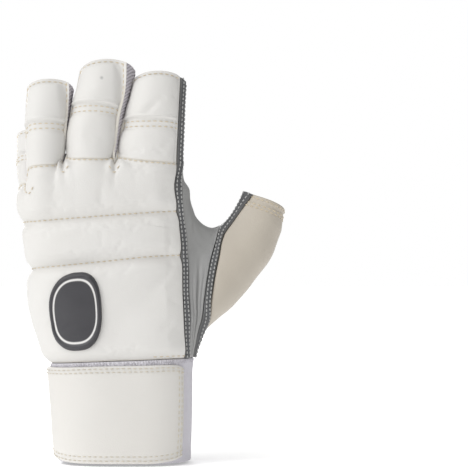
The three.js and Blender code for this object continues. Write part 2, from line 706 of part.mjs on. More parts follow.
// Heel patch: second layer over the heel of the hand, on the palm and the foot of the thumb
const HEEL = { lift: LEATHER + 0.95, thickness: 1.5, loft: 1.2, cuffLittle: 205, cuffThumb: 291 };
const HEEL_TOP = table(['x', 'z'], [-53, 143], [-40, 135], [-27.5, 125.6], [-23.3, 117.9],
  [-18.4, 111.6], [-11.7, 107.4], [-2.9, 105.9], [11.9, 106.2], [29.5, 108.6], [44.3, 106.2]);
const HEEL_THUMB = table(['x', 'z'], [23.5, 65.5], [30.5, 75.8], [37.5, 85.6], [41.9, 96.4],
  [44.3, 106.2]);
const onPalm = (row) => seenFrom('palm', row.x, row.z);
const heelEdge = {
  bottom: cuffArc(HEEL.cuffLittle, HEEL.cuffThumb),
  top: seam(HEEL_TOP.map(onPalm)),
  left: seam([onCuff(HEEL.cuffLittle), onHand(203, 76), onHand(202, 98), onHand(200, 118),
    onHand(197, 132), onPalm(HEEL_TOP[0])]),
  right: seam([onCuff(HEEL.cuffThumb), ...HEEL_THUMB.map(onPalm)]),
};
add('heel_patch', 'suede', panel(heelEdge, steps(16), [0, 0.05, 0.15, 0.3, 0.45, 0.6, 0.75, 0.87, 0.95, 1],
  (u, v) => [HEEL.lift, HEEL.lift + HEEL.thickness + HEEL.loft * dome(v) * dome(u)]));

// Knit elastic around the wrist, from the open end of the cuff to the cuff seam
const ring32 = steps(32);
const wrist = (turn, z) => settle(onHand(turn, z));
add('wrist_elastic', 'elastic', new Sheet().patch(ring32, steps(4),
  (u, v) => wrist((360 * u) % 360, cuffHeight(360 * u) * v), flat(ELASTIC)).solid());

// Band around the wrist by rows of turn: lower edge, upper edge and height above the skin
function bandRows(rows) {
  const whole = rows.length - 1;
  const read = (column, u) => {
    const i = Math.min(whole - 1, Math.floor(u * whole + 1e-9));
    const s = u * whole - i;
    return rows[i][column] * (1 - s) + rows[i + 1][column] * s;
  };
  return read;
}
const BAND = ['turn', 'low', 'high', 'lift'];
const STRAP = { thickness: 2, lift: ELASTIC + 0.4 };
const STRAP_ROWS = table(BAND,
  [33.75, 3.6, 52, 0], [38, 2.6, 53, 0], [45, 1.6, 53.4, 0], [56.25, 0.8, 53.4, 0],
  [67.5, 0.3, 53.2, 0], [78.75, 0.3, 53, 0], [90, 0.3, 52.8, 0], [101.25, 0.3, 52.6, 0],
  [112.5, 0.3, 52.4, 0], [123.75, 0.3, 52.2, 0], [135, 0.5, 52, 0], [146.25, 1, 52, 0],
  [157.5, 1.6, 52, 0], [168.75, 2.4, 52, 0], [180, 3.4, 52, 0], [191.25, 4.8, 52, 0],
  [202.5, 6.4, 52.2, 0], [213.75, 7.8, 52.4, 0.1], [225, 8.4, 52.4, 0.6], [236.25, 8, 51.8, 1.4],
  [247.5, 7.2, 50.8, 1.5], [258.75, 6.2, 49.4, 1.5], [268, 5.2, 47.8, 1.5], [273.5, 6, 46.6, 1.5],
  [276.5, 9, 43.5, 1.5], [277.8, 14, 38, 1.5]);
const strapAt = bandRows(STRAP_ROWS);
add('wrist_strap', 'white', new Sheet().patch(steps(STRAP_ROWS.length - 1), [0, 0.12, 0.5, 0.88, 1],
  (u, v) => wrist(strapAt('turn', u), strapAt('low', u) * (1 - v) + strapAt('high', u) * v),
  (u, v) => [STRAP.lift + strapAt('lift', u),
    STRAP.lift + strapAt('lift', u) + STRAP.thickness + 0.5 * dome(v)]).solid(0));

// Loop patch on the elastic, under the strap's end and beyond it
const LOOP = { thickness: 1, lift: ELASTIC + 0.5 };
const LOOP_ROWS = table(BAND,
  [253, 10, 48.5, 0], [258.75, 9, 50, 0], [270, 7.5, 51.4, 0], [281.25, 7, 52, 0], [292.5, 7, 52, 0],
  [303.75, 7.4, 51.6, 0], [311, 9.4, 49.6, 0], [316, 14, 45, 0], [318.5, 21, 38, 0]);
const loopAt = bandRows(LOOP_ROWS);
add('loop_patch', 'loop', new Sheet().patch(steps(LOOP_ROWS.length - 1), steps(4),
  (u, v) => wrist(loopAt('turn', u), loopAt('low', u) * (1 - v) + loopAt('high', u) * v),
  flat(LOOP.thickness, LOOP.lift)).solid(0));

// Badge: oval rubber plate with a raised rim on the lowest channel of the back pad
const BADGE = {
  u: 0.405, v: 0.52, halfWidth: 0.138, halfHeight: 0.4, lean: 0.03, lift: 0.45, thickness: 2, rim: 0.8,
};
const BADGE_RINGS = table(['reach', 'rise'], [0, 0], [0.62, 0], [0.78, 0], [0.88, 1], [1, 0.4]);
const badgeRows = steps(BADGE_RINGS.length - 1);
const badgeAt = (u, v) => {
  const ring = BADGE_RINGS[Math.round(v * (BADGE_RINGS.length - 1))];
  const angle = 2 * Math.PI * (u % 1);
  const cos = Math.sign(Math.cos(angle)) * Math.abs(Math.cos(angle)) ** 0.8;
  const sin = Math.sign(Math.sin(angle)) * Math.abs(Math.sin(angle)) ** 0.8;
  return {
    u: BADGE.u + ring.reach * (BADGE.halfWidth * cos + BADGE.lean * BADGE.halfHeight * sin),
    v: BADGE.v + ring.reach * BADGE.halfHeight * sin,
    rise: ring.rise,
  };
};
const padCellLow = padCell(0);
const padLevelsLow = padLevels(0);
add('badge', 'badge', new Sheet().patch(steps(20), badgeRows, (u, v) => {
  const q = badgeAt(u, v);
  return between(padCellLow, q.u, q.v);
}, (u, v) => {
  const q = badgeAt(u, v);
  const low = padLevelsLow(q.u, q.v)[1] + BADGE.lift;
  return [low, low + BADGE.thickness + BADGE.rim * q.rise];
}).solid(0));

export default group;
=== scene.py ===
# Left-hand lineman glove with half fingers: quilted white leather back, grey suede palm, knit
# fourchettes between the fingers, a stretch cuff and a strap around the wrist. Built around the
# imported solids: the seams run where theirs do, and each piece is cut between them as a fine sheet.
import math
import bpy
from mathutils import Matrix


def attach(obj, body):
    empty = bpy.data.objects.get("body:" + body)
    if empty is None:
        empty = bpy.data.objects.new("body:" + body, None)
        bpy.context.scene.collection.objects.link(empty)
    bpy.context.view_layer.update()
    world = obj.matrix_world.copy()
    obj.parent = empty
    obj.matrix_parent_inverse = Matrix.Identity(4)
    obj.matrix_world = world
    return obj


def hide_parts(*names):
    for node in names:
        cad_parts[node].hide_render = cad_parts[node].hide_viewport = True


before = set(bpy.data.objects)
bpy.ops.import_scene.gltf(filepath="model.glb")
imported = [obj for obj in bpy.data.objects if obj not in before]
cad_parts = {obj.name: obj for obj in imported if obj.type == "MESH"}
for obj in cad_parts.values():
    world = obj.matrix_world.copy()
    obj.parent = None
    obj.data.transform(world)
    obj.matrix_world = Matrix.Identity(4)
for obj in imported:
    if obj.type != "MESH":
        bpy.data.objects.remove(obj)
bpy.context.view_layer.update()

from types import SimpleNamespace

import bpy
import numpy as np
from mathutils import Vector, kdtree

# Back pad.
# Three padded channels of white leather over foam, from the cuff seam to the feet of the
# fingers. One leather is quilted to its backing along two stitched lines and turned in at the
# seams. The form of the hand that every piece is laid on is here too, in millimetres.
# Lengths are in millimetres, and this turns them into metres
MM = 0.001
# About one full turn in radians
TURN = 6.283
# How far from its seam the outer and the inner surface of a cloth end
PULL = 0.12
TOUCH = 0.02
# Share of its thickness that a cloth keeps at a rolled and at a flush side
ROLLED_SIDE, FLUSH_SIDE = 0.3, 0.9


def rows(*lines):
    return np.array(lines, float)


# Sections of the hand: height, then its limits toward little finger, index, back and palm
HAND = rows((-20, -33.5, 33.5, -22, 22), (0, -33.5, 33.5, -22, 22), (25, -35, 34.6, -21.8, 21.8),
            (50, -37.5, 35, -21, 21), (62, -40, 35, -19.5, 21), (74, -43.5, 34.5, -18.5, 21),
            (88, -47, 34, -18, 20), (106, -48, 33.5, -17, 18), (118, -49.3, 33, -16.5, 16.5),
            (130, -51.8, 32, -16, 15.5), (145, -54, 31.2, -15, 14), (160, -54, 30.5, -13.5, 12),
            (175, -54, 30, -12, 10))
THUMB = rows((50, 8, 30.5, -13, 16), (58, 4, 33.5, -14, 19), (66, 0, 39, -14, 22),
             (74, 0, 45, -13.5, 24), (87, 6, 59.5, -11.5, 26), (100, 19, 70.2, -7, 28),
             (112, 33, 79.3, -2.5, 29), (123, 49.5, 83.6, 2, 29.5), (130, 59.3, 85.8, 4.5, 29.5),
             (138, 65.6, 87.6, 7, 29.5), (146, 71.2, 91, 8.5, 30), (160, 79, 99, 10, 31))
INDEX = rows((130, 4, 30, -12, 9), (150, -0.6, 30.6, -13, 9), (165, -1.2, 30.8, -13, 9.5),
             (180, 1.2, 31.3, -12, 10), (195, 4.8, 31.8, -9.5, 12), (210, 6.8, 32.4, -5.5, 15.5),
             (225, 8.5, 32.6, 0, 20))
MIDDLE = rows((130, -27, -8, -13, 8), (150, -28.3, -6.3, -14, 8), (166, -28.3, -6, -14, 8),
              (178, -28, -4.9, -13, 8.5), (190, -26.6, -2.6, -11.5, 9.5),
              (203, -23.6, 1.4, -8.5, 12.5), (217, -21.3, 3.9, -4, 17), (230, -19.5, 5.5, 1.5, 22))
RING = rows((130, -48.5, -34, -12, 8), (150, -49.6, -34.6, -13, 8), (165, -50.3, -34.3, -13, 8),
            (178, -51.2, -32.9, -12, 8.5), (190, -51.5, -31.3, -10, 10), (205, -51, -29.2, -6, 14),
            (220, -51, -28, 0, 20))
LITTLE = rows((120, -50, -36, -8, 8), (135, -53, -37, -6, 12), (150, -56.2, -39.5, 1, 20.5),
              (160, -58.3, -40.5, 9.5, 28.5), (170, -59, -41, 17, 36), (180, -59.6, -41.3, 24, 43),
              (195, -60, -42, 35, 54))
HAND_SQUARE, FINGER_SQUARE = 2.5, 2.2


def limits(table, z):
    """Limits of a hand part at its heights, eased between the rows."""
    i = np.searchsorted(table[1:-1, 0], z, side="left")
    a, b = table[np.maximum(i - 1, 0)], table[i]
    c, d = table[i + 1], table[np.minimum(i + 2, len(table) - 1)]
    h = (c[..., :1] - b[..., :1])
    s = np.clip((z[..., None] - b[..., :1]) / h, 0, 1)
    rise_in = (c - a)[..., 1:] / (c - a)[..., :1] * h
    rise_out = (d - b)[..., 1:] / (d - b)[..., :1] * h
    return ((2 * s**3 - 3 * s**2 + 1) * b[..., 1:] + (s**3 - 2 * s**2 + s) * rise_in
            + (3 * s**2 - 2 * s**3) * c[..., 1:] + (s**3 - s**2) * rise_out)


def oval_gap(table, n, p):
    """Distance to the rounded sections of a hand part; n is how square they are."""
    little, index, back, palm = np.moveaxis(limits(table, p[..., 2]), -1, 0)
    a, b = (index - little) / 2, (palm - back) / 2
    dx = np.abs(p[..., 0] - (index + little) / 2) + 1e-6
    dy = np.abs(p[..., 1] - (palm + back) / 2) + 1e-6
    reach = ((dx / a) ** n + (dy / b) ** n) ** (1 / n)
    slope = reach ** (1 - n) * np.hypot(dx ** (n - 1) / a**n, dy ** (n - 1) / b**n)
    return (reach - 1) / np.maximum(slope, 0.02)


def soft_min(a, b, k):
    """The smaller of two distances, blended where they differ by less than k."""
    h = np.clip(0.5 + 0.5 * (b - a) / k, 0, 1)
    return b * (1 - h) + a * h - k * h * (1 - h)


def soft_max(a, b, k):
    return -soft_min(-a, -b, k)


def web_gap(p):
    """Web of skin between thumb and index finger: a slanted slab with an oval bite."""
    x, y, z = np.moveaxis(p, -1, 0)
    bite = np.hypot((x - 51) / 16.6, (z - 147.4) / 21.5)
    thumb = limits(THUMB, z)
    d = soft_max(np.abs(y - (x - 33) * 0.48) - 6, (1 - bite) * 18, 7)
    d = soft_max(d, 31 - x, 4)
    d = soft_max(d, x - (thumb[..., 0] + thumb[..., 1]) / 2, 4)
    d = soft_max(d, z - 149, 4)
    return soft_max(d, 78 - z, 8)


def skin_gap(p):
    """Distance to the skin of the whole hand, negative inside."""
    x, y, z = np.moveaxis(p, -1, 0)
    # The hand ends under the fingers in an arch that is lower toward the little one
    beyond = np.maximum(0, -20 - x) / 30
    top = 168 - 16 * np.minimum(1.4, beyond) ** 2 + 0.35 * np.clip(y, -14, 14)
    d = soft_max(oval_gap(HAND, HAND_SQUARE, p), z - top, 9)
    d = soft_min(d, oval_gap(THUMB, FINGER_SQUARE, p), 14)
    d = soft_min(d, web_gap(p), 9)
    for finger in (INDEX, MIDDLE, RING, LITTLE):
        d = soft_min(d, oval_gap(finger, FINGER_SQUARE, p) + np.maximum(0, 130 - z), 3.5)
    return d


def slope(p):
    """Direction out of the skin."""
    step = 0.05
    shift = (np.eye(3) * step).reshape((3,) + (1,) * (p.ndim - 1) + (3,))
    return np.moveaxis(skin_gap(p + shift) - skin_gap(p - shift), 0, -1) / (2 * step)


def unit(v):
    return v / np.maximum(np.linalg.norm(v, axis=-1, keepdims=True), 1e-9)


def settle(p):
    """Moves places onto the skin by the shortest way."""
    p = np.array(p, float)
    for _ in range(14):
        d = skin_gap(p)
        if np.abs(d).max() < 2e-4:
            break
        g = slope(p)
        p -= g * np.clip(d / np.maximum((g * g).sum(-1), 0.05), -4, 4)[..., None]
    return p


def seen(face, x, z):
    """Place on the skin seen from the back or from the palm."""
    way = 1 if face == "back" else -1
    far = 60
    p = np.array((x, -far * way, z), float)
    for _ in range(80):
        d = skin_gap(p)
        if d < 0.005 or abs(p[1]) > far + 1:
            break
        p[1] += way * d * 0.8
    return p


def around(table, turn, z, n=FINGER_SQUARE):
    """Place on a part by turn in degrees: 0 thumb side, 90 back, 180 little side, 270 palm."""
    turn, z = np.broadcast_arrays(np.radians(turn), np.asarray(z, float))
    little, index, back, palm = np.moveaxis(limits(table, z), -1, 0)
    c, s = np.cos(turn), np.sin(turn)
    return np.stack([(index + little) / 2 + (index - little) / 2 * np.sign(c) * np.abs(c) ** (2 / n),
                     (palm + back) / 2 - (palm - back) / 2 * np.sign(s) * np.abs(s) ** (2 / n),
                     z], -1)


def smooth_line(places, t):
    """Centripetal curve through the places."""
    q = np.array(places, float)
    q = np.vstack([2 * q[:1] - q[1:2], q, 2 * q[-1:] - q[-2:-1]])
    s = t * (len(places) - 1)
    i = np.minimum(s.astype(int), len(places) - 2)
    w = (s - i)[:, None]
    a, b, c, d = q[i], q[i + 1], q[i + 2], q[i + 3]
    k0, k1, k2 = (np.linalg.norm(m - n, axis=1, keepdims=True) ** 0.5
                  for m, n in ((a, b), (b, c), (c, d)))
    t1 = ((b - a) / k0 - (c - a) / (k0 + k1) + (c - b) / k1) * k1
    t2 = ((c - b) / k1 - (d - b) / (k1 + k2) + (d - c) / k2) * k1
    return b + t1 * w + (3 * c - 3 * b - 2 * t1 - t2) * w**2 + (2 * b - 2 * c + t1 + t2) * w**3


def seam(places):
    """Seam on the skin through the places, read by shares 0..1 of its length."""
    fine = settle(smooth_line(places, np.linspace(0, 1, (len(places) - 1) * 8 + 1)))
    length = np.r_[0, np.cumsum(np.linalg.norm(np.diff(fine, axis=0), axis=1))]

    def at(t):
        goal = np.clip(np.atleast_1d(t), 0, 1) * length[-1]
        return settle(np.stack([np.interp(goal, length, fine[:, k]) for k in range(3)], -1))
    return at


def chain(seams, shares):
    """Seams one after another."""
    ends = np.r_[0, np.cumsum(shares)] / sum(shares)

    def at(t):
        t = np.atleast_1d(t)
        which = np.clip(np.searchsorted(ends, t - 1e-9, side="left") - 1, 0, len(seams) - 1)
        out = np.zeros((len(t), 3))
        for k, line in enumerate(seams):
            mine = which == k
            if mine.any():
                out[mine] = line((t[mine] - ends[k]) / (ends[k + 1] - ends[k]))
        return out
    return at


def part_of(line, start, end):
    """Stretch of a seam between two shares of its length."""
    return lambda t: line(start + (end - start) * np.atleast_1d(t))


def cubic(field, u, v):
    """Smooth reading of a grid at shares u and v."""
    field = np.concatenate([2 * field[:, :1] - field[:, 1:2], field,
                            2 * field[:, -1:] - field[:, -2:-1]], 1)
    field = np.concatenate([2 * field[:1] - field[1:2], field, 2 * field[-1:] - field[-2:-1]], 0)
    u, v = np.broadcast_arrays(u, v)
    weights, starts = [], []
    for share, count in ((u, field.shape[1] - 3), (v, field.shape[0] - 3)):
        x = np.clip(share, 0, 1) * count
        i = np.minimum(x.astype(int), count - 1)
        s = x - i
        starts.append(i)
        weights.append([-s / 2 + s**2 - s**3 / 2, 1 - 2.5 * s**2 + 1.5 * s**3,
                        s / 2 + 2 * s**2 - 1.5 * s**3, (s**3 - s**2) / 2])
    out = 0
    for a in range(4):
        for b in range(4):
            out = out + (weights[0][b] * weights[1][a])[..., None] * field[starts[1] + a,
                                                                          starts[0] + b]
    return out


class Panel:
    """A panel between its seams: a grid of places on the skin with their facings."""

    def __init__(self, places):
        self.place = places
        self.facing = unit(slope(places))
        self.widths = np.linalg.norm(np.diff(places, axis=1), axis=2).sum(1)
        self.heights = np.linalg.norm(np.diff(places, axis=0), axis=2).sum(0)
        self.width, self.height = self.widths.mean(), self.heights.mean()

    @classmethod
    def cut(cls, bottom, top, left, right, across=36, up=36, fade=1):
        us, vs = np.linspace(0, 1, across + 1), np.linspace(0, 1, up + 1)
        b, t = bottom(us)[None], top(us)[None]
        u, v = us[None, :, None], vs[:, None, None]
        low, high = (1 - v) ** fade, v**fade
        p = left(vs)[:, None] * (1 - u) + right(vs)[:, None] * u + b * low + t * high
        p = p - b[:, :1] * (1 - u) * low - b[:, -1:] * u * low
        return cls(settle(p - t[:, :1] * (1 - u) * high - t[:, -1:] * u * high))

    def at(self, u, v, lift=0.0):
        n = unit(cubic(self.facing, u, v))
        return cubic(self.place, u, v) + n * np.asarray(lift)[..., None]

    def spans(self, u, v):
        """Width of the row and height of the column that a point lies on."""
        return (np.interp(v, np.linspace(0, 1, len(self.widths)), self.widths),
                np.interp(u, np.linspace(0, 1, len(self.heights)), self.heights))


# Where the first rows of a cloth lie behind an open side
RIM = np.array([0, 0.12, 0.3, 0.6, 1.0])


def spread(length, cell, low=True, high=True):
    """Shares of a length about a cell apart, closer together at its open ends."""
    start, end = RIM if low else RIM[:1], RIM if high else RIM[:1]
    n = max(2, round((length - start[-1] - end[-1]) / cell))
    middle = np.linspace(start[-1], length - end[-1], n + 1)
    return np.concatenate([start[:-1], middle, length - end[:-1][::-1]]) / length


def ripple(x, y, seed, size):
    """Smooth irregular waves of about -1..1, for folds and uneven cloth."""
    draw = np.random.default_rng(seed)
    out = 0
    for k in range(7):
        angle, phase, scale = draw.uniform(0, TURN, 3)
        wave = TURN / size * (0.6 + 0.13 * scale)
        out = out + np.sin(wave * (x * np.cos(angle) + y * np.sin(angle)) + phase)
    return out / 3.2


class Cloth:
    """One material on a panel: outer and inner surface on a fine grid. rims names its open
    sides out of left, right, bottom, top, and flush those that stay thick to the edge;
    thickness and wave are read at each point."""

    def __init__(self, panel, thickness, under=0.05, cell=0.8, rims="lrbt", pull=PULL, edge=0.8,
                 wave=None, us=None, flush=""):
        self.panel = panel
        us = spread(panel.width, cell, "l" in rims, "r" in rims) if us is None else us
        vs = spread(panel.height, cell, "b" in rims, "t" in rims)
        draw_in = np.array([0 if side not in rims else TOUCH if side in flush else pull
                            for side in "lrbt"])
        self.u, self.v = self.within(us, vs, draw_in)
        u, v = np.meshgrid(self.u, self.v)
        w, h = panel.spans(u, v)
        self.left, self.right, self.low, self.high = u * w, (1 - u) * w, v * h, (1 - v) * h
        sides = dict(l=self.left, r=self.right, b=self.low, t=self.high)
        brink = pull * 0.9
        self.rim = np.minimum.reduce([sides[side] for side in rims]) - brink
        fall = 1.0
        for side in rims:
            s = np.clip((sides[side] - brink) / edge, 0, 1)
            end = FLUSH_SIDE if side in flush else ROLLED_SIDE
            fall = np.minimum(fall, end + (1 - end) * np.sqrt(1 - (1 - s) ** 2))
        thick = thickness(u, v, self) if callable(thickness) else thickness
        moved = wave(u, v, self) if wave else 0.0 * u
        self.outer = panel.at(u, v, under + thick * fall + moved)
        inner_u, inner_v = np.meshgrid(*self.within(us, vs, np.minimum(draw_in, TOUCH)))
        self.inner = panel.at(inner_u, inner_v, under + np.minimum(moved, 0.0))
        self.uv = np.stack([self.left, self.low], -1)

    def within(self, us, vs, draw_in):
        """Shares of the panel, with each side drawn in from its seam."""
        wide, tall = self.panel.width, self.panel.height
        return ((draw_in[0] + us * (wide - draw_in[0] - draw_in[1])) / wide,
                (draw_in[2] + vs * (tall - draw_in[2] - draw_in[3])) / tall)

    def on(self, u, v, up=0.0):
        """Places on the outer surface and its facings there."""
        x = np.interp(u, self.u, np.arange(len(self.u)))
        y = np.interp(v, self.v, np.arange(len(self.v)))
        i = np.clip(x.astype(int), 0, len(self.u) - 2)
        j = np.clip(y.astype(int), 0, len(self.v) - 2)
        s, t = (x - i)[:, None], (y - j)[:, None]
        f = self.outer
        p = ((f[j, i] * (1 - s) + f[j, i + 1] * s) * (1 - t)
             + (f[j + 1, i] * (1 - s) + f[j + 1, i + 1] * s) * t)
        n = unit(cubic(self.panel.facing, u, v))
        return p + n * up, n


def cells(nv, nu):
    """Quads between the points of a grid, by the points' numbers."""
    i = np.arange(nv * nu).reshape(nv, nu)
    return np.stack([i[:-1, :-1], i[:-1, 1:], i[1:, 1:], i[1:, :-1]], -1).reshape(-1, 4)


def outward(quads, place, facing):
    """The quads, all turned over if the middle one doesn't look along its facing."""
    a, b, c, d = quads[len(quads) // 2]
    across = np.cross(place[c] - place[a], place[d] - place[b])
    return quads if across @ facing[a] > 0 else quads[:, ::-1]


def sew(name, cloths):
    """Mesh of cloths that share edges, with inner surface and rims."""
    outer = np.concatenate([c.outer.reshape(-1, 3) for c in cloths])
    inner = np.concatenate([c.inner.reshape(-1, 3) for c in cloths])
    uv = np.concatenate([c.uv.reshape(-1, 2) for c in cloths])
    rim = np.concatenate([c.rim.ravel() for c in cloths])
    quads, border, start = [], [], 0
    for c in cloths:
        nv, nu = c.outer.shape[:2]
        quads.append(outward(cells(nv, nu) + start, outer, outer - inner))
        i = np.arange(nv * nu).reshape(nv, nu) + start
        border += [*i[0], *i[-1], *i[:, 0], *i[:, -1]]
        start += nv * nu
    tree = kdtree.KDTree(len(border))
    for k in border:
        tree.insert(outer[k], int(k))
    tree.balance()
    same = np.arange(start)
    for k in border:
        same[k] = min(found[1] for found in tree.find_range(outer[k], 0.09))
    for _ in range(4):
        same = same[same]
    used, back = np.unique(same, return_inverse=True)
    count = np.bincount(back)[:, None]
    outer, inner = (np.stack([np.bincount(back, f[:, k]) for k in range(3)], -1) / count
                    for f in (outer, inner))
    uv, rim = uv[used], rim[used]
    faces = []
    for q in back[np.concatenate(quads)]:
        face = [int(q[k]) for k in range(4) if q[k] != q[k - 1]]
        if len(set(face)) == len(face) > 2:
            faces.append(face)
    n = len(used)
    edges = {}
    for f in faces:
        for k in range(len(f)):
            edges[f[k - 1], f[k]] = True
    rims = [[b, a, a + n, b + n] for a, b in edges if (b, a) not in edges]
    faces += [[k + n for k in reversed(f)] for f in faces] + rims
    mesh = bpy.data.meshes.new(name)
    mesh.from_pydata((np.concatenate([outer, inner]) * MM).tolist(), [], faces)
    mesh.polygons.foreach_set("use_smooth", np.ones(len(faces), bool))
    loop = np.zeros(len(mesh.loops), int)
    mesh.loops.foreach_get("vertex_index", loop)
    layer = mesh.uv_layers.new(name="cloth")
    layer.data.foreach_set("uv", (uv[loop % n] * MM).ravel())
    near = mesh.attributes.new("rim", "FLOAT", "POINT")
    near.data.foreach_set("value", np.tile(np.clip(rim / 10, 0, 1), 2))
    # Stored shares of real marks, stains and print, and of painted shade in the knit's grooves
    if hasattr(cloths[0], "aged"):
        aged = np.concatenate([c.aged.ravel() for c in cloths])[used]
        mesh.attributes.new("aged", "FLOAT", "POINT").data.foreach_set("value", np.tile(aged, 2))
    mesh.update()
    return mesh


def show(name, mesh, material, slot, *nodes):
    """Adds a finished piece, which stands for its solids."""
    piece = bpy.data.objects.new(name, mesh)
    bpy.context.scene.collection.objects.link(piece)
    mesh.materials.clear()
    mesh.materials.append(material)
    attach(piece, "root")
    if nodes:
        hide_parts(*nodes)
    return piece


def sewn(name, cloths, material, slot, node):
    """Adds a piece sewn from cloths."""
    return show(name, sew(name, cloths), material, slot, node)


def swell(cloths, pins, name, pressure, cap):
    """The foam pushes the leather out between its seams: a cloth simulation on a light copy of
    the outer surfaces, three times enlarged, whose movement is then given to the fine ones."""
    up, spacing, steps = 3, 1.7, 20
    verts, faces, held, grids = [], [], [], []
    for cloth, pin in zip(cloths, pins):
        nu = round(cloth.panel.width / spacing) + 1
        nv = round(cloth.panel.height / spacing) + 1
        u, v = np.meshgrid(np.linspace(cloth.u[0], cloth.u[-1], nu),
                           np.linspace(cloth.v[0], cloth.v[-1], nv))
        place, facing = cloth.on(u.ravel(), v.ravel())
        start = len(verts)
        faces += (outward(cells(nv, nu), place, facing) + start).tolist()
        verts += (place * MM * up).tolist()
        held += [start + int(k) for k in np.flatnonzero(pin(u, v, cloth.panel).ravel())]
        grids.append((start, nu, nv))
    mesh = bpy.data.meshes.new(name)
    mesh.from_pydata(verts, [], faces)
    helper = bpy.data.objects.new(name, mesh)
    scene = bpy.context.scene
    scene.collection.objects.link(helper)
    helper.vertex_groups.new(name="sewn").add(held, 1.0, "REPLACE")
    press = helper.modifiers.new("press", "CLOTH")
    sim = press.settings
    sim.quality, sim.mass, sim.air_damping = 6, 0.3, 2.0
    sim.tension_stiffness = sim.compression_stiffness = 12
    sim.shear_stiffness, sim.bending_stiffness = 6, 0.6
    sim.shrink_min = -0.005
    sim.vertex_group_mass = "sewn"
    sim.use_pressure, sim.uniform_pressure_force = True, pressure
    sim.effector_weights.gravity = 0
    press.point_cache.frame_start, press.point_cache.frame_end = 1, steps
    press.collision_settings.use_collision = False
    for step in range(1, steps + 1):
        scene.frame_set(step)
    grown = helper.evaluated_get(bpy.context.evaluated_depsgraph_get()).to_mesh()
    after = np.zeros(len(verts) * 3)
    grown.vertices.foreach_get("co", after)
    in_mm = 1000
    moved = (after.reshape(-1, 3) - np.array(verts)) * in_mm / up
    scene.frame_set(1)
    bpy.data.objects.remove(helper)
    size = np.linalg.norm(moved, axis=1, keepdims=True)
    moved *= np.tanh(size / cap) * cap / np.maximum(size, 1e-9)
    for cloth, (start, nu, nv) in zip(cloths, grids):
        field = moved[start:start + nu * nv].reshape(nv, nu, 3)
        u, v = np.meshgrid((cloth.u - cloth.u[0]) / (cloth.u[-1] - cloth.u[0]),
                           (cloth.v - cloth.v[0]) / (cloth.v[-1] - cloth.v[0]))
        cloth.outer = cloth.outer + cubic(field, u, v)


def row(cloth, side, inset, start=0.0, end=1.0, up=0.12, count=90):
    """Run along one side of a cloth, a few millimetres inside it, or along a height share."""
    t = np.linspace(start, end, count)
    w, h = cloth.panel.spans(t, t)
    u, v = {"l": (inset / w, t), "r": (1 - inset / w, t), "b": (t, inset / h),
            "t": (t, 1 - inset / h), "v": (t, inset + 0 * t), "u": (inset + 0 * t, t)}[side]
    return cloth.on(u, v, up)


def near_seams(inset, band=None):
    """Where a padded cell is sewn down: along its edges, and along a stitched band."""
    def pin(u, v, panel):
        w, h = panel.spans(u, v)
        off = np.minimum.reduce([u * w, (1 - u) * w, v * h, (1 - v) * h])
        return off < inset if band is None else (off < inset) | (np.abs(v - band) * h < 3.5)
    return pin


def cloud(tree, place, scale, detail):
    noise = tree.nodes.new("ShaderNodeTexNoise")
    noise.inputs["Scale"].default_value = scale
    noise.inputs["Detail"].default_value = detail
    tree.links.new(place, noise.inputs["Vector"])
    return noise.outputs["Fac"]


def stored(tree, name):
    """A value that the mesh keeps at its points."""
    node = tree.nodes.new("ShaderNodeAttribute")
    node.attribute_name = name
    return node.outputs["Fac"]


def ramp(tree, value, start, end):
    node = tree.nodes.new("ShaderNodeMapRange")
    node.inputs["From Min"].default_value = start
    node.inputs["From Max"].default_value = end
    tree.links.new(value, node.inputs["Value"])
    return node.outputs["Result"]


def mix(tree, *parts):
    """Blend by a factor between two colours, each of them a colour or a socket."""
    node = tree.nodes.new("ShaderNodeMix")
    node.data_type = "RGBA"
    for part, socket in zip(parts, [s for s in node.inputs if s.enabled]):
        if isinstance(part, tuple):
            socket.default_value = part
        else:
            tree.links.new(part, socket)
    return [s for s in node.outputs if s.enabled][0]


def finish(name, colour, roughness, second=None, patch=25, speck=0.0, grain=1500, depth=0.05,
           kind="noise", worn=None, worn_to=0.25, aged=None, sheen=0.0):
    """Surface finish: a colour that varies in patches, a grain in the bump, and worn edges."""
    material = bpy.data.materials.new(name)
    material.use_nodes = True
    tree = material.node_tree
    shader = tree.nodes["Principled BSDF"]
    shader.inputs["Sheen Weight"].default_value = sheen
    shader.inputs["Sheen Roughness"].default_value = 0.5
    place = tree.nodes.new("ShaderNodeTexCoord").outputs["Object"]
    base = mix(tree, cloud(tree, place, patch, 3), (*colour, 1), (*(second or colour), 1))
    if speck:
        dark = tree.nodes.new("ShaderNodeHueSaturation")
        dark.inputs["Value"].default_value = 1 - speck
        tree.links.new(base, dark.inputs["Color"])
        fine = ramp(tree, cloud(tree, place, 900, 2), 0.42, 0.62)
        base = mix(tree, fine, base, dark.outputs["Color"])
    if worn:
        base = mix(tree, ramp(tree, stored(tree, "rim"), worn_to, 0.0), base, (*worn, 1))
    # Blends in a last colour by a stored share: real marks, stains and print on most pieces, painted
    # shade in the knit's grooves
    if aged:
        base = mix(tree, stored(tree, "aged"), base, (*aged, 1))
    tree.links.new(base, shader.inputs["Base Color"])
    gloss = tree.nodes.new("ShaderNodeMapRange")
    gloss.inputs["To Min"].default_value = roughness - 0.06
    gloss.inputs["To Max"].default_value = min(1.0, roughness + 0.08)
    tree.links.new(cloud(tree, place, 60, 4), gloss.inputs["Value"])
    tree.links.new(gloss.outputs["Result"], shader.inputs["Roughness"])
    bump = tree.nodes.new("ShaderNodeBump")
    bump.inputs["Strength"].default_value = 1.0
    bump.inputs["Distance"].default_value = depth * MM
    if kind == "leather":
        pores = tree.nodes.new("ShaderNodeTexVoronoi")
        pores.feature = "SMOOTH_F1"
        pores.inputs["Scale"].default_value = grain
        tree.links.new(place, pores.inputs["Vector"])
        height = pores.outputs["Distance"]
    else:
        height = cloud(tree, place, grain, 4)
    tree.links.new(height, bump.inputs["Height"])
    tree.links.new(bump.outputs["Normal"], shader.inputs["Normal"])
    return material


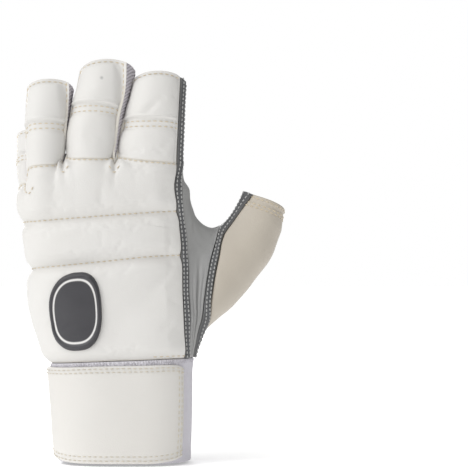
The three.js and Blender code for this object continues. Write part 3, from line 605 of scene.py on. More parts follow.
def thread_finish(name, colour, second=None, roughness=0.7, patch=160, depth=0.1):
    return finish(name, colour, roughness, second=second, patch=patch, grain=3000, depth=depth)


# Where the pieces start around the cuff seam, in degrees of turn, and the seam's height
CUFF = dict(pad=29, index_binding=19, thumb_binding=5, thumb_back=-4, thumb_seam=-22, palm=-60,
            little=200)


def on_hand(turn, z):
    return around(HAND, turn, z, HAND_SQUARE)


def cuff_height(turn):
    return 55.5 + 1.6 * np.cos(np.radians(turn))


def on_cuff(turn, up=0.0):
    return on_hand(turn, cuff_height(turn) + up)


def cuff_arc(start, end):
    return seam([on_cuff(t) for t in np.linspace(start, end, 9)])


def seen_line(face, *places):
    """Places on the hand, drawn in x and z as seen from its back or its palm."""
    return [seen(face, x, z) for x, z in places]


# Ends of the slits between the fingers, seen on the back and on the palm
slit_back = seen_line("back", (-50.5, 149), (-31.5, 160.5), (-4, 160.5))
slit_palm = seen_line("palm", (-38.5, 157), (-31, 164.5), (-4, 167))
little_base = around(LITTLE, 186, 149)
web_top = around(INDEX, 4, 162.7)
index_base = around(INDEX, 31, 162.7)
little_side = seam([on_cuff(CUFF["little"]), on_hand(199, 76), on_hand(198, 98),
                    on_hand(196, 118), on_hand(192, 134), little_base])
pad_edge = seam([
    on_cuff(CUFF["pad"]),
    *seen_line("back", (32.6, 76), (32.2, 91), (31.6, 106), (30.6, 121), (29.2, 137), (27.4, 151)),
    index_base])
back_ends = [little_base, *slit_back, index_base]
back_foot = [seam([back_ends[i], seen("back", x1, z1), seen("back", x2, z2), back_ends[i + 1]])
             for i, (x1, z1, x2, z2) in enumerate((
                 (-55, 150.5, -52.6, 151), (-49, 158.3, -33.4, 163.2), (-29.6, 163.4, -6.4, 164),
                 (-1, 163.9, 16, 163.8)))]
# How the four fingers share the foot that they stand on
FOOT_SHARES = [3, 4, 4, 5]
FOOT_WHOLE = sum(FOOT_SHARES)

# Quilt lines: shares of the little side and of the index edge, and places between
little_cuts, index_cuts = [0, 0.52, 0.8, 1], [0, 0.525, 0.75, 1]
quilts = [seam([little_side(little_cuts[i])[0], on_hand(160, zs[0] - 1),
                *seen_line("back", *zip((-36, -8, 14), zs)), pad_edge(index_cuts[i])[0]])
          for i, zs in ((1, (106.4, 109.2, 111.5)), (2, (131.8, 133.9, 135.5)))]
pad_lines = [cuff_arc(CUFF["little"], CUFF["pad"]), *quilts, chain(back_foot, FOOT_SHARES)]
# Thickness of the leather where it is sewn down, and of the foam under it in each channel
FLANGE = 1.6
PAD_LOFT = [3.8, 3.6, 3.2]


def dome(t):
    return np.sqrt(np.maximum(0, 1 - np.abs(2 * t - 1) ** 3))


def crown(off, reach):
    """Rounded shoulder of a pad, from 0 at its seam to 1 at its reach."""
    return np.sin(np.clip(off / reach, 0, 1) * np.pi / 2) ** 0.8


def valleys(panel, u, v):
    """Depth of the valleys between the knuckles, which the foam fills."""
    across = u[0] * panel.width
    weight = np.exp(-((across[:, None] - across) / 10) ** 2) * np.gradient(across)
    deep = panel.at(u, v)[..., 1]
    smooth = deep @ (weight / weight.sum(1, keepdims=True)).T
    middle = np.clip((np.minimum(u, 1 - u) - 0.1) / 0.12, 0, 1)
    return 0.85 * np.maximum(deep - smooth, 0) * middle * middle * (3 - 2 * middle)


def pad_thickness(i):
    def thickness(u, v, cloth):
        flank = np.minimum(1, np.sqrt(np.maximum(0, np.minimum(u, 1 - u)) / 0.1))
        pucker = ripple(cloth.left, 0.12 * cloth.low, 11 + i, 7) * np.exp(
            -np.minimum(cloth.low, cloth.high) / 5)
        sag = ripple(cloth.left, 2.2 * cloth.low, 31 + i, 38)
        shoulder = crown(np.minimum(cloth.low, cloth.high) - 0.6, 7)
        full = shoulder * (0.7 + 0.3 * dome(v)) * flank
        if i == 2:
            at_foot = np.clip((v - 0.5) * 2, 0, 1)
            groove = 0.4 * np.exp(-((cloth.high - 0.7) / 0.7) ** 2)
            full = np.maximum(full, 0.5 * flank * at_foot) - groove / PAD_LOFT[i]
            full = full + valleys(cloth.panel, u, v) * np.clip(cloth.high / 4, 0, 1) / PAD_LOFT[i]
        return FLANGE + PAD_LOFT[i] * full + full * (0.07 * pucker + 0.14 * sag)
    return thickness


# Columns of the pad: seven to each share of its foot, and closer ones at both sides
pad_us = np.concatenate([
    np.linspace(0, 1, k * 7 + 1)[1:] * k / FOOT_WHOLE + sum(FOOT_SHARES[:j]) / FOOT_WHOLE
    for j, k in enumerate(FOOT_SHARES)])
pad_us = np.r_[0, 0.0015, 0.0035, 0.007, pad_us[:-1], 0.993, 0.9965, 0.9985, 1]
pad_panels = [Panel.cut(pad_lines[i], pad_lines[i + 1],
                        part_of(little_side, little_cuts[i], little_cuts[i + 1]),
                        part_of(pad_edge, index_cuts[i], index_cuts[i + 1]), across=48, up=20)
              for i in range(3)]
pad_cloths = [Cloth(pad_panels[i], pad_thickness(i), rims=("lrb", "lr", "lrt")[i], us=pad_us,
                    cell=0.75, flush="t") for i in range(3)]
white_leather = finish("white leather", (0.71, 0.70, 0.68), 0.55, second=(0.67, 0.655, 0.625),
                       kind="leather", grain=1500, depth=0.05, worn=(0.64, 0.61, 0.55),
                       worn_to=0.1, aged=(0.34, 0.34, 0.33))
# Between its quilt lines each channel stands out over the binding at its index side
OVERHANG = 1.1
for cloth in pad_cloths:
    near_edge = np.clip(1 - cloth.right / 6, 0, 1) ** 2 * np.clip(cloth.right / 0.8, 0, 1)
    cloth.outer[..., 0] += OVERHANG * near_edge * crown(np.minimum(cloth.low, cloth.high), 6)
swell(pad_cloths, [near_seams(2.5)] * 3, "pad_swell", pressure=1.0, cap=0.4)
back_pad = sewn("back_pad_leather", pad_cloths, white_leather, "white_leather", "back_pad")
tan_thread = thread_finish("tan thread", (0.60, 0.50, 0.34), (0.66, 0.58, 0.44))
quilting = [row(pad_cloths[1], "b", 0.3, 0.01, 0.985, up=0.2, count=160),
            row(pad_cloths[2], "b", 0.3, 0.01, 0.985, up=0.2, count=160),
            row(pad_cloths[0], "b", 1.5, 0.82, 0.985, up=0.1)]
foot_ends = np.r_[0, np.cumsum(FOOT_SHARES)] / FOOT_WHOLE
for start, end in zip(foot_ends[:-1], foot_ends[1:]):
    gap = 0.16 * (end - start)
    quilting.append(row(pad_cloths[2], "t", 0.7, start + gap, end - gap * (end < 1), up=0.15))

# Finger backs.
# Each half finger has a back of the same padded white leather: two cells with a stitched crease
# between them, sewn to the back pad at the foot and hemmed with a narrow flat flange at the top.
def wire(tree, *links):
    """Links in a node tree: from node and output, to node and input."""
    for source, output, target, entry in links:
        tree.links.new(source.outputs[output], target.inputs[entry])


def empty_tree(name, source, lengths, result):
    """Node tree that is to make a geometry out of another one, some lengths and a finish."""
    tree = bpy.data.node_groups.new(name, "GeometryNodeTree")
    socket = tree.interface.new_socket
    socket(source, in_out="INPUT", socket_type="NodeSocketGeometry")
    for length in lengths:
        socket(length, in_out="INPUT", socket_type="NodeSocketFloat")
    socket("Finish", in_out="INPUT", socket_type="NodeSocketMaterial")
    socket(result, in_out="OUTPUT", socket_type="NodeSocketGeometry")
    return tree


def stitch_tree(name):
    """Thread along the edges of a mesh: one rounded stitch after another, each of them set on
    the facing stored along the seam."""
    tree = empty_tree(name, "Seams", ("Pitch", "Stitch length", "Thread"), "Stitches")
    new = tree.nodes.new
    start, end = new("NodeGroupInput"), new("NodeGroupOutput")
    curve, even = new("GeometryNodeMeshToCurve"), new("GeometryNodeResampleCurve")
    even.mode = "LENGTH"
    facing = new("GeometryNodeInputNamedAttribute")
    facing.data_type = "FLOAT_VECTOR"
    facing.inputs["Name"].default_value = "facing"
    turn = new("FunctionNodeAxesToRotation")
    turn.primary_axis, turn.secondary_axis = "X", "Z"
    bead, size = new("GeometryNodeMeshUVSphere"), new("ShaderNodeCombineXYZ")
    bead.inputs["Segments"].default_value = 6
    bead.inputs["Rings"].default_value = 5
    bead.inputs["Radius"].default_value = 0.5
    shape, put = new("GeometryNodeTransform"), new("GeometryNodeInstanceOnPoints")
    soft = new("GeometryNodeSetShadeSmooth")
    real, paint = new("GeometryNodeRealizeInstances"), new("GeometryNodeSetMaterial")
    tangent = new("GeometryNodeInputTangent")
    wire(tree, (start, "Seams", curve, "Mesh"), (curve, "Curve", even, "Curve"),
         (start, "Pitch", even, "Length"), (tangent, "Tangent", turn, "Primary Axis"),
         (facing, "Attribute", turn, "Secondary Axis"), (start, "Stitch length", size, "X"),
         (start, "Thread", size, "Y"), (start, "Thread", size, "Z"),
         (bead, "Mesh", shape, "Geometry"), (size, "Vector", shape, "Scale"),
         (even, "Curve", put, "Points"), (shape, "Geometry", put, "Instance"),
         (turn, "Rotation", put, "Rotation"), (put, "Instances", real, "Geometry"),
         (real, "Geometry", soft, "Geometry"), (soft, "Geometry", paint, "Geometry"),
         (start, "Finish", paint, "Material"), (paint, "Geometry", end, "Stitches"))
    return tree


sewing = stitch_tree("row of stitches")


def grown_mesh(name, mesh, tree, **inputs):
    """What a node tree makes from a mesh, as a plain mesh."""
    seed = bpy.data.objects.new(name, mesh)
    bpy.context.scene.collection.objects.link(seed)
    nodes = seed.modifiers.new(name, "NODES")
    nodes.node_group = tree
    for item in tree.interface.items_tree:
        if item.in_out == "INPUT" and item.name in inputs:
            nodes[item.identifier] = inputs[item.name]
    made = seed.evaluated_get(bpy.context.evaluated_depsgraph_get())
    result = bpy.data.meshes.new_from_object(made)
    bpy.data.objects.remove(seed)
    return result


def stitches(name, runs, finish_of_thread, slot, pitch=3.2, length=2.4, thread=0.55):
    """Rows of stitches along runs of places and facings."""
    points, facings, edges = [], [], []
    for place, facing in runs:
        k = len(points)
        points += (place * MM).tolist()
        facings += facing.tolist()
        edges += [(k + j, k + j + 1) for j in range(len(place) - 1)]
    mesh = bpy.data.meshes.new(name)
    mesh.from_pydata(points, edges, [])
    mesh.attributes.new("facing", "FLOAT_VECTOR", "POINT").data.foreach_set(
        "vector", np.array(facings).ravel())
    made = grown_mesh(name, mesh, sewing, **{"Pitch": pitch * MM, "Thread": thread * MM,
                                             "Stitch length": length * MM,
                                             "Finish": finish_of_thread})
    return show(name, made, finish_of_thread, slot)


def drawn(cloth, xz, up=0.15, count=60):
    """Run over the outer surface of a cloth along a line drawn on them in x and z."""
    xz = np.array(xz, float)
    length = np.r_[0, np.cumsum(np.linalg.norm(np.diff(xz, axis=0), axis=1))]
    t = np.linspace(0, length[-1], count)
    line = np.stack([np.interp(t, length, xz[:, k]) for k in (0, 1)], -1)
    field = cloth.outer.reshape(-1, 3)
    off = np.linalg.norm(field[None, :, (0, 2)] - line[:, None], axis=2)
    near = np.argsort(off, axis=1)[:, :4]
    weight = 1 / (np.take_along_axis(off, near, 1) + 0.05)
    y = (field[near][..., 1] * weight).sum(1) / weight.sum(1)
    place = np.stack([line[:, 0], y, line[:, 1]], -1)
    facing = unit(slope(place))
    return place + facing * up, facing


# Each finger: turns of its four seams at foot and hem, and hem heights at back and palm. Then the
# place of its crease, the height of its foam, and how close to the index side that comes; dents
# left by the knuckles, by place across and up, lean, half width and depth; how far its two side
# edges stand forward and aside; and creases on its palm side, by height, tilt, centre and depth.
FINGERS = [
    dict(name="little", rows=LITTLE, back=(186, 96), back_hem=50, palm=(186, 20), palm_hem=-12,
         hem=(182.5, 178), crease=0.5, loft=1.6, snug=1, dents=(), forward=(0, 0.5),
         aside=(0, 0), palm_creases=((9, 0.1, 0.4, 0.4),)),
    dict(name="ring", rows=RING, back=(176, 5), back_hem=34, palm=(228, -32), palm_hem=-32,
         hem=(209, 200), crease=0.46, loft=2.4, snug=1, dents=((0.72, 0.56, 1.1, 1.8, 0.7),),
         forward=(1, 4), aside=(0.3, 0.6),
         palm_creases=((12, 0.1, 0.6, 0.5), (24, -0.15, 0.4, 0.4))),
    dict(name="middle", rows=MIDDLE, back=(178, 8), back_hem=44, palm=(212, -32), palm_hem=-32,
         hem=(220, 207.5), crease=0.5, loft=2.6, snug=1, dents=((0.4, 0.7, 1.5, 1.8, 0.25),),
         forward=(3.8, 5.2), aside=(0.5, 1.1),
         palm_creases=((4, 0.25, 0.7, 0.9), (17, 0.2, 0.4, 0.5), (33, -0.2, 0.6, 0.5))),
    dict(name="index", rows=INDEX, back=(177, 32), back_hem=33, palm=(212, 3), palm_hem=3,
         hem=(213.5, 200.5), crease=0.42, loft=2.6, snug=2.6,
         dents=((0.54, 0.56, 0.62, 2.1, 1.0),), forward=(4.6, 0), aside=(1.0, 0),
         palm_creases=((1.5, -0.12, 0.5, 0.9), (21, 0.2, 0.3, 0.4), (29, 0.15, 0.65, 0.6)))]
MIDDLE_FINGER, INDEX_FINGER = FINGERS[2:]


def hem_height(finger, turn):
    back, palm = finger["hem"]
    return palm + (back - palm) * (0.5 + 0.5 * np.sin(np.radians(turn)))


def hem_arc(finger, start, end):
    return seam([around(finger["rows"], t, hem_height(finger, t))
                 for t in np.linspace(start, end, 9)])


palm_ends = [little_base, *slit_palm, web_top]


def along(finger, turns, foot):
    """Seam along a finger, by its turns at foot and hem."""
    turn, at_hem = turns
    top = hem_height(finger, at_hem)
    return seam([foot] + [around(finger["rows"], turn + (at_hem - turn) * s**1.5,
                                 foot[2] + (top - foot[2]) * s) for s in (0.2, 0.45, 0.72, 1)])


for i, finger in enumerate(FINGERS):
    back, palm = finger["back"], finger["palm"]
    finger["back_left"] = along(finger, (back[0], back[0]), back_ends[i])
    finger["back_right"] = along(finger, (back[1], finger["back_hem"]), back_ends[i + 1])
    finger["palm_left"] = finger["back_left"] if i == 0 else along(finger, (palm[0], palm[0]),
                                                                  palm_ends[i])
    finger["palm_right"] = along(finger, (palm[1], finger["palm_hem"]), palm_ends[i + 1])


def finger_thickness(finger, seed):
    share, band, hem = finger["crease"], 2.9, 2.9

    def thickness(u, v, cloth):
        tall = cloth.low + cloth.high
        lower = v / (share - band / tall)
        upper = (v - share - band / tall) / (1 - share - (band + hem) / tall)
        cell = np.clip(np.where(v < share, lower, upper), 0, 1)
        side = np.minimum(cloth.left, cloth.right * finger["snug"])
        side = np.clip((side - 2.6) / 5.5, 0, 1)
        side = side * side * (3 - 2 * side)
        edge = np.minimum(np.minimum(cloth.left, cloth.right), cloth.high)
        lip = 0.25 * np.exp(-((edge - 0.8) / 0.6) ** 2) - 0.35 * np.exp(-((edge - 2.1) / 0.5) ** 2)
        low_cell = 0.5 * np.maximum(dome(cell), cell < 0.5)
        crest = 1 - (1 - np.minimum(u, 1 - u) * 2) ** 2
        full = np.where(v < share, low_cell, dome(cell)) * side * (0.4 + 0.6 * crest)
        off = np.minimum(np.minimum(cloth.low, cloth.high), np.abs(v - share) * tall)
        pucker = ripple(cloth.left, 0.2 * cloth.low, seed, 5) * np.exp(-off / 4)
        sag = ripple(cloth.left * 1.4, cloth.low, seed + 9, 22)
        tuck = 0.9 * np.exp(-((cell * (1 - share) * tall - 1.0) / 0.9) ** 2) * (v > share) * side
        dent = 0
        for du, dv, lean, wide, deep in finger["dents"]:
            x, y = (u - du) * cloth.panel.width, (v - dv) * tall
            along_dent = y * np.cos(lean) + x * np.sin(lean)
            across_dent = x * np.cos(lean) - y * np.sin(lean)
            dent = dent + deep * np.exp(-(across_dent / wide) ** 2 - (along_dent / 6) ** 2)
        return (FLANGE + 0.2 * side + lip + finger["loft"] * full + tuck
                + full * (0.08 * pucker + 0.16 * sag) - full * dent)
    return thickness


# How far in from its edges a finger's leather is flared
FLARE = 10


def flare(cloth, off, reach, forward, aside):
    """Brings the edge of a cloth toward the back view and aside, off the finger."""
    share = np.clip(1 - off / reach, 0, 1)
    foot = np.clip(cloth.low / 5, 0, 1)
    for surface in (cloth.outer, cloth.inner):
        surface[..., 1] -= forward * share**3 * foot
        surface[..., 0] += aside * share**4 * foot


for i, finger in enumerate(FINGERS):
    panel = Panel.cut(back_foot[i], hem_arc(finger, finger["back"][0], finger["back_hem"]),
                      finger["back_left"], finger["back_right"], across=24, up=32)
    cloth = Cloth(panel, finger_thickness(finger, 51 + i), cell=0.55, flush="b")
    flare(cloth, cloth.left, FLARE, finger["forward"][0], -finger["aside"][0])
    flare(cloth, cloth.right, FLARE, finger["forward"][1], finger["aside"][1])
    finger["back_cloth"] = cloth
# A small grey mark on the middle finger: its place and radius
MARK = dict(x=-11.05, z=209.4, radius=0.85)
x, _y, z = np.moveaxis(MIDDLE_FINGER["back_cloth"].outer, -1, 0)
MIDDLE_FINGER["back_cloth"].aged = 0.75 * np.exp(
    -(np.hypot(x - MARK["x"], z - MARK["z"]) / MARK["radius"]) ** 4)
swell([finger["back_cloth"] for finger in FINGERS],
      [near_seams(3.2, finger["crease"]) for finger in FINGERS], "finger_swell",
      pressure=0.9, cap=0.3)
for finger in FINGERS:
    name = f"finger_back_{finger['name']}"
    cloth = finger["back_cloth"]
    finger["back_piece"] = sewn(f"{name}_leather", [cloth], white_leather, "white_leather", name)
    tall = cloth.panel.height
    quilting += [row(cloth, "t", 2.1, 0.08, 0.92), row(cloth, "l", 2.0, 0.03, 0.96)]
    quilting += [row(cloth, "v", finger["crease"] + off / tall, 0.05, 0.95) for off in (-1.5, 1.1)]
    if finger is not INDEX_FINGER:
        quilting.append(row(cloth, "r", 2.1, 0.03, 0.96))
# The rows along the fingers turn in a U below the end of each slit
for x, _y, z in slit_back:
    turn = np.radians(np.linspace(180, 360, 13))
    quilting.append(drawn(pad_cloths[2], np.stack([x + 2.2 * np.cos(turn),
                                                  z + 2.6 * np.sin(turn)], -1), up=0.4))
stitches("quilting_thread", quilting, tan_thread, "white_leather", pitch=3.1, length=2.3)


KNIT = 1.2
RIB_PITCH, RIB_DEPTH = 1.6, 0.5


def ribs(u, v, cloth):
    """Knit with grooves that run aslant, and painted shade that darkens the grooves against the
    ribs.
    """
    across_ribs = 0.58 * cloth.left + 0.81 * cloth.low
    # Share of painted shade, strongest at the floor of each groove
    cloth.aged = (1 - np.abs(np.sin(np.pi * across_ribs / RIB_PITCH))) ** 1.5
    return KNIT - RIB_DEPTH * cloth.aged


def bulge(height):
    """The loose knit stands out between the fingers, least at the crotch."""
    return lambda u, v, cloth: height * np.sin(np.pi * u) ** 0.8 * np.clip(cloth.low / 3, 0, 1)


# How far the two legs of each strip stand out
BULGES = dict(little_ring=(0.3, 0.3), ring_middle=(0.9, 0.8), middle_index=(2.2, 1.2))
# The knit's last colour is painted shade, blended into the grooves of the ribs by that share
knit = finish("ribbed knit", (0.63, 0.60, 0.65), 0.92, second=(0.55, 0.52, 0.56), patch=60,
              grain=2600, depth=0.25, sheen=0.3, aged=(0.24, 0.22, 0.235))
whipped = []
for i, (pair, heights) in enumerate(BULGES.items()):
    lower, upper = FINGERS[i], FINGERS[i + 1]
    crotch = seam([slit_back[i], (slit_back[i] + slit_palm[i]) / 2, slit_palm[i]])
    legs = [Panel.cut(crotch, hem_arc(lower, lower["back_hem"], lower["palm_hem"]),
                      lower["back_right"], lower["palm_right"], across=12, up=32),
            Panel.cut(crotch, hem_arc(upper, upper["back"][0], upper["palm"][0]),
                      upper["back_left"], upper["palm_left"], across=12, up=32)]
    us = spread(np.mean([leg.width for leg in legs]), 0.4)
    cloths = [Cloth(leg, ribs, rims="lrt", us=us, cell=0.3, edge=0.5, pull=0.25,
                    wave=bulge(height)) for leg, height in zip(legs, heights)]
    for cloth, finger, side, way in ((cloths[0], lower, 1, 1), (cloths[1], upper, 0, -1)):
        flare(cloth, cloth.left, cloth.panel.width, finger["forward"][side],
              way * finger["aside"][side])
    strip = sewn(f"fourchette_{pair}_knit", cloths, knit, "ribbed_knit", f"fourchette_{pair}")
    whipped += [row(cloth, "r", 0.55, 0.0, 1, up=0.0, count=120) for cloth in cloths]
knit_thread = thread_finish("knit thread", (0.68, 0.66, 0.71), roughness=0.85, patch=200,
                            depth=0.15)
stitches("fourchette_whipping", whipped, knit_thread, "ribbed_knit", pitch=1.0, length=0.85,
         thread=1.15)
# Below each slit the whipping of both edges meets in a small knot on the palm
around_knot = np.radians(np.linspace(0, 700, 40))
knots = []
for place in slit_palm:
    facing = unit(slope(place))
    side = unit(np.cross(facing, (0, 0, 1)))
    down = np.cross(facing, side)
    loop = (place + facing * 1.4 + np.cos(around_knot)[:, None] * side * 0.9
            + np.sin(around_knot)[:, None] * down * 0.6 + np.linspace(0, 0.5, 40)[:, None] * facing)
    knots.append((loop, np.broadcast_to(facing, loop.shape)))
stitches("fourchette_knots", knots, knit_thread, "ribbed_knit", pitch=0.8, length=1.6, thread=1.1)

# Palm.
# Grey suede over the palm and the palm sides of the four fingers, cut in one piece. It creases
# out of the crotches and across the palm, and is hemmed at the finger openings.
LEATHER = 1.5
grey_suede = finish("grey suede", (0.43, 0.44, 0.42), 0.9, second=(0.335, 0.345, 0.335), patch=38,
                    speck=0.1, grain=2200, depth=0.16, sheen=0.25, worn=(0.5, 0.5, 0.47),
                    worn_to=0.1)
# Share of the web's edge at which the thumb palm's tongue ends
TONGUE_TIP = 0.14
WEB_EDGE = rows((32.4, 1, 148), (34.8, 2, 141), (39.5, 3.5, 132), (45, 6, 127), (50.5, 8.4, 125.6),
                (55, 12.5, 127.4), (59.6, 16.5, 132), (64.8, 19, 139))
# Turns around the thumb's hem at which its pieces meet
HEM = dict(back=164, back_out=142, crotch=192, outer=310)


def thumb_hem(turn):
    """Place on the slanted hem of the thumb."""
    z = 141.6
    for _ in range(30):
        x, y, _z = around(THUMB, turn, z)
        z += 0.5 * (141.6 - 0.36 * (x - 79.2) - 0.22 * (y - 18) - z)
    return around(THUMB, turn, z)


web_edge = seam([web_top, *WEB_EDGE, thumb_hem(HEM["crotch"])])
TONGUE = ((12, 74), (3, 89), (-1.6, 101), (-2.3, 108), (1.9, 118), (7.8, 127.4), (15.4, 135.7),
          (23, 141.6))
tongue_seam = seam([on_cuff(CUFF["palm"]), *seen_line("palm", *TONGUE), web_edge(TONGUE_TIP)[0]])
palm_foot = [seam([palm_ends[i], seen("palm", x, z), palm_ends[i + 1]])
             for i, (x, z) in enumerate(((-51.5, 155), (-39, 161), (-17.5, 163), (13, 162.5)))]
# How the four fingers share the foot, and columns to each share
PALM_SHARES = [2, 4, 4, 4]
PALM_COLUMNS = 9
palm_panel = Panel.cut(
    cuff_arc(CUFF["little"], CUFF["palm"] + 360), chain(palm_foot, PALM_SHARES), little_side,
    chain([tongue_seam, lambda t: web_edge(TONGUE_TIP * (1 - np.atleast_1d(t)))], [12, 2]),
    across=56, up=56)

# Folds that run down from the crotches: start, lean toward the thumb, depth, width and end
PALM_FOLDS = rows((-38, 152, 0.2, 0.7, 1.6, 118), (-31, 160, -0.2, 0.9, 1.8, 126),
                  (-30, 160, 0.35, 0.8, 2, 122), (-13, 163, 0.75, 1.3, 3, 118),
                  (-4, 162, 0.15, 0.8, 1.6, 134), (-3, 163, 0.95, 0.9, 2.2, 130),
                  (9, 158, 0.45, 0.9, 3, 132))


def palm_wave(u, v, cloth):
    fold = 0
    x, z = np.moveaxis(cloth.panel.at(u, v), -1, 0)[[0, 2]]
    for x0, z0, lean, depth, wide, end in PALM_FOLDS:
        off = (x - x0) - lean * (z0 - z)
        fold = fold + depth * np.exp(-(off / wide) ** 2) * np.clip((z0 + 4 - z) / 6, 0, 1) * np.clip(
            (z - end) / 18, 0, 1)
    soft = ripple(x, z, 71, 26) * 0.35 + ripple(x, z, 72, 9) * 0.1
    return (soft - fold) * np.clip(cloth.rim / 5, 0, 1)


palm_us = np.linspace(0, 1, sum(PALM_SHARES) * PALM_COLUMNS + 1)
palm_cloths = [Cloth(palm_panel, LEATHER, rims="lrb", us=palm_us, cell=0.9, wave=palm_wave)]


def crease_wave(finger):
    def wave(u, v, cloth):
        fold = 0
        for height, tilt, centre, depth in finger["palm_creases"]:
            off = cloth.low - height - tilt * (u - 0.5) * cloth.panel.width
            fold = fold + depth * np.exp(-(off / 0.9) ** 2 - ((u - centre) / 0.38) ** 2)
        return (0.12 * ripple(cloth.left, cloth.low, 75, 11) - fold) * np.clip(cloth.rim / 2, 0, 1)
    return wave


for i, finger in enumerate(FINGERS):
    panel = Panel.cut(palm_foot[i], hem_arc(finger, finger["palm"][0], finger["palm_hem"] + 360),
                      finger["palm_left"], finger["palm_right"], across=16, up=24)
    finger["palm_cloth"] = Cloth(panel, LEATHER, rims="lrt", cell=0.5, wave=crease_wave(finger),
                                 us=np.linspace(0, 1, PALM_SHARES[i] * PALM_COLUMNS + 1))
    palm_cloths.append(finger["palm_cloth"])
palm_piece = sewn("palm_suede", palm_cloths, grey_suede, "grey_suede", "palm")
white_thread = thread_finish("white thread", (0.80, 0.80, 0.79), (0.72, 0.72, 0.71))
stitches("palm_hem_thread", [row(finger["palm_cloth"], "t", 2.0, 0.06, 0.94)
                             for finger in FINGERS], white_thread, "grey_suede", pitch=2.1,
         length=1.4, thread=0.6)
palm_rows = [row(INDEX_FINGER["palm_cloth"], "r", 1.2, 0.02, 0.98)]
# Along the tongue the palm is narrower than its mean, so these insets come out at about a third
palm_rows += [row(palm_cloths[0], "r", inset, 0.42, 0.85) for inset in (4.0, 7.4)]

# Thumb palm.
# Grey suede over the ball of the thumb, from the binding at its foot to the hem. A tongue of it
# runs up into the palm and is held by two rows of white thread.
# Height of the thumb's pieces over the cuff seam, and where their foot meets the tongue's seam
FOOT = 4
TONGUE_FOOT = 0.04
thumb_seam = seam([on_cuff(CUFF["thumb_seam"], FOOT), around(THUMB, 330, 72),
                   around(THUMB, 324, 86), around(THUMB, 318, 102), around(THUMB, 313, 118),
                   thumb_hem(HEM["outer"])])
thumb_palm_foot = seam([tongue_seam(TONGUE_FOOT)[0], on_cuff(-52, FOOT), on_cuff(-40, FOOT),
                        on_cuff(-30, FOOT), thumb_seam(0)[0]])


def thumb_hem_arc(start, end):
    return seam([thumb_hem(t) for t in np.linspace(start, end, 9)])


def thumb_palm_wave(u, v, cloth):
    return 0.3 * ripple(cloth.left, cloth.low, 81, 15) * np.clip(cloth.rim / 4, 0, 1)


thumb_palm_panel = Panel.cut(
    thumb_palm_foot,
    chain([part_of(web_edge, TONGUE_TIP, 1), thumb_hem_arc(HEM["crotch"], HEM["outer"])], [9, 5]),
    part_of(tongue_seam, TONGUE_FOOT, 1), thumb_seam, across=42, up=48)
thumb_palm_cloth = Cloth(thumb_palm_panel, LEATHER, wave=thumb_palm_wave, pull=0.3)
thumb_palm_piece = sewn("thumb_palm_suede", [thumb_palm_cloth], grey_suede, "grey_leather",
                        "thumb_palm")
palm_rows.append(row(thumb_palm_cloth, "t", 2.3, 0.66, 0.98))
TONGUE_ROW = rows((26.6, 142.6), (30, 131), (32.6, 118), (34.5, 109))
palm_rows += [drawn(thumb_palm_cloth, TONGUE_ROW + (off, 0)) for off in (0, 1.9)]

# Side panel.
# Smooth grey leather between the index binding and the thumb binding, up to the free edge of the
# web. It gathers into upright folds where it narrows toward the wrist.
binding_edge = seam([
    on_cuff(CUFF["index_binding"]),
    *seen_line("back", (36.4, 76), (36, 91), (35.4, 106), (34.2, 121), (32.4, 136), (31.4, 150)),
    web_top])
thumb_binding_in = seam([
    on_cuff(CUFF["thumb_binding"]),
    *seen_line("back", (42, 76), (44.6, 88), (46.8, 101), (49, 112)),
    around(THUMB, 138, 123), around(THUMB, 156, 131), thumb_hem(HEM["back"])])
side_panel = Panel.cut(
    cuff_arc(CUFF["index_binding"], CUFF["thumb_binding"]),
    chain([part_of(web_edge, 0, TONGUE_TIP), part_of(web_edge, TONGUE_TIP, 1),
           thumb_hem_arc(HEM["crotch"], HEM["back"])], [2, 9, 1]),
    binding_edge, thumb_binding_in, across=36, up=48, fade=3)

# Upright folds: share across, depth and share of the height that they reach
SIDE_FOLDS = ((0.3, 0.9, 0.45), (0.55, 1.3, 0.62), (0.78, 0.8, 0.5))


def side_wave(u, v, cloth):
    folds = 0
    for share, depth, top in SIDE_FOLDS:
        folds = folds + depth * np.exp(-((u - share) * cloth.panel.width / 1.5) ** 2) * np.clip(
            (top - v) / 0.2, 0, 1)
    return (0.15 * ripple(cloth.left, cloth.low * 0.4, 91, 10) - folds) * np.clip(
        cloth.rim / 3, 0, 1)


grey_leather = finish("grey leather", (0.355, 0.355, 0.35), 0.5, second=(0.30, 0.30, 0.295),
                      patch=45, kind="leather", grain=1700, depth=0.06, worn=(0.36, 0.36, 0.36),
                      worn_to=0.1)
side_cloth = Cloth(side_panel, LEATHER, wave=side_wave, pull=0.3, cell=0.6)
side_piece = sewn("side_panel_leather", [side_cloth], grey_leather, "grey_leather", "side_panel")

# Thumb back.
# Ivory leather around the outer side of the thumb, lightly padded, with a turned hem.
# Share of the binding's outer seam at which the foot of the thumb back meets it
THUMB_FOOT = 0.045
thumb_binding_out = seam([
    on_cuff(CUFF["thumb_back"]),
    *seen_line("back", (44.6, 74), (48, 87), (50.4, 100), (52.8, 111)),
    around(THUMB, 121, 121.5), around(THUMB, 135, 129), thumb_hem(HEM["back_out"])])
thumb_back_foot = seam([thumb_binding_out(THUMB_FOOT)[0], on_cuff(-12, FOOT), thumb_seam(0)[0]])
thumb_back_panel = Panel.cut(thumb_back_foot, thumb_hem_arc(HEM["back_out"], HEM["outer"] - 360),
                             part_of(thumb_binding_out, THUMB_FOOT, 1), thumb_seam, across=32, up=48)


def thumb_back_thickness(u, v, cloth):
    fold = 0.7 * np.exp(-((cloth.high - 3.9) / 0.5) ** 2)
    hem = np.clip((cloth.high - 7.5) / 5, 0, 1)
    padding = dome(u) * (0.35 + 0.65 * hem) * np.minimum(1, v * 3)
    return LEATHER + padding - fold + 0.18 * hem * ripple(cloth.left, cloth.low, 95, 20)


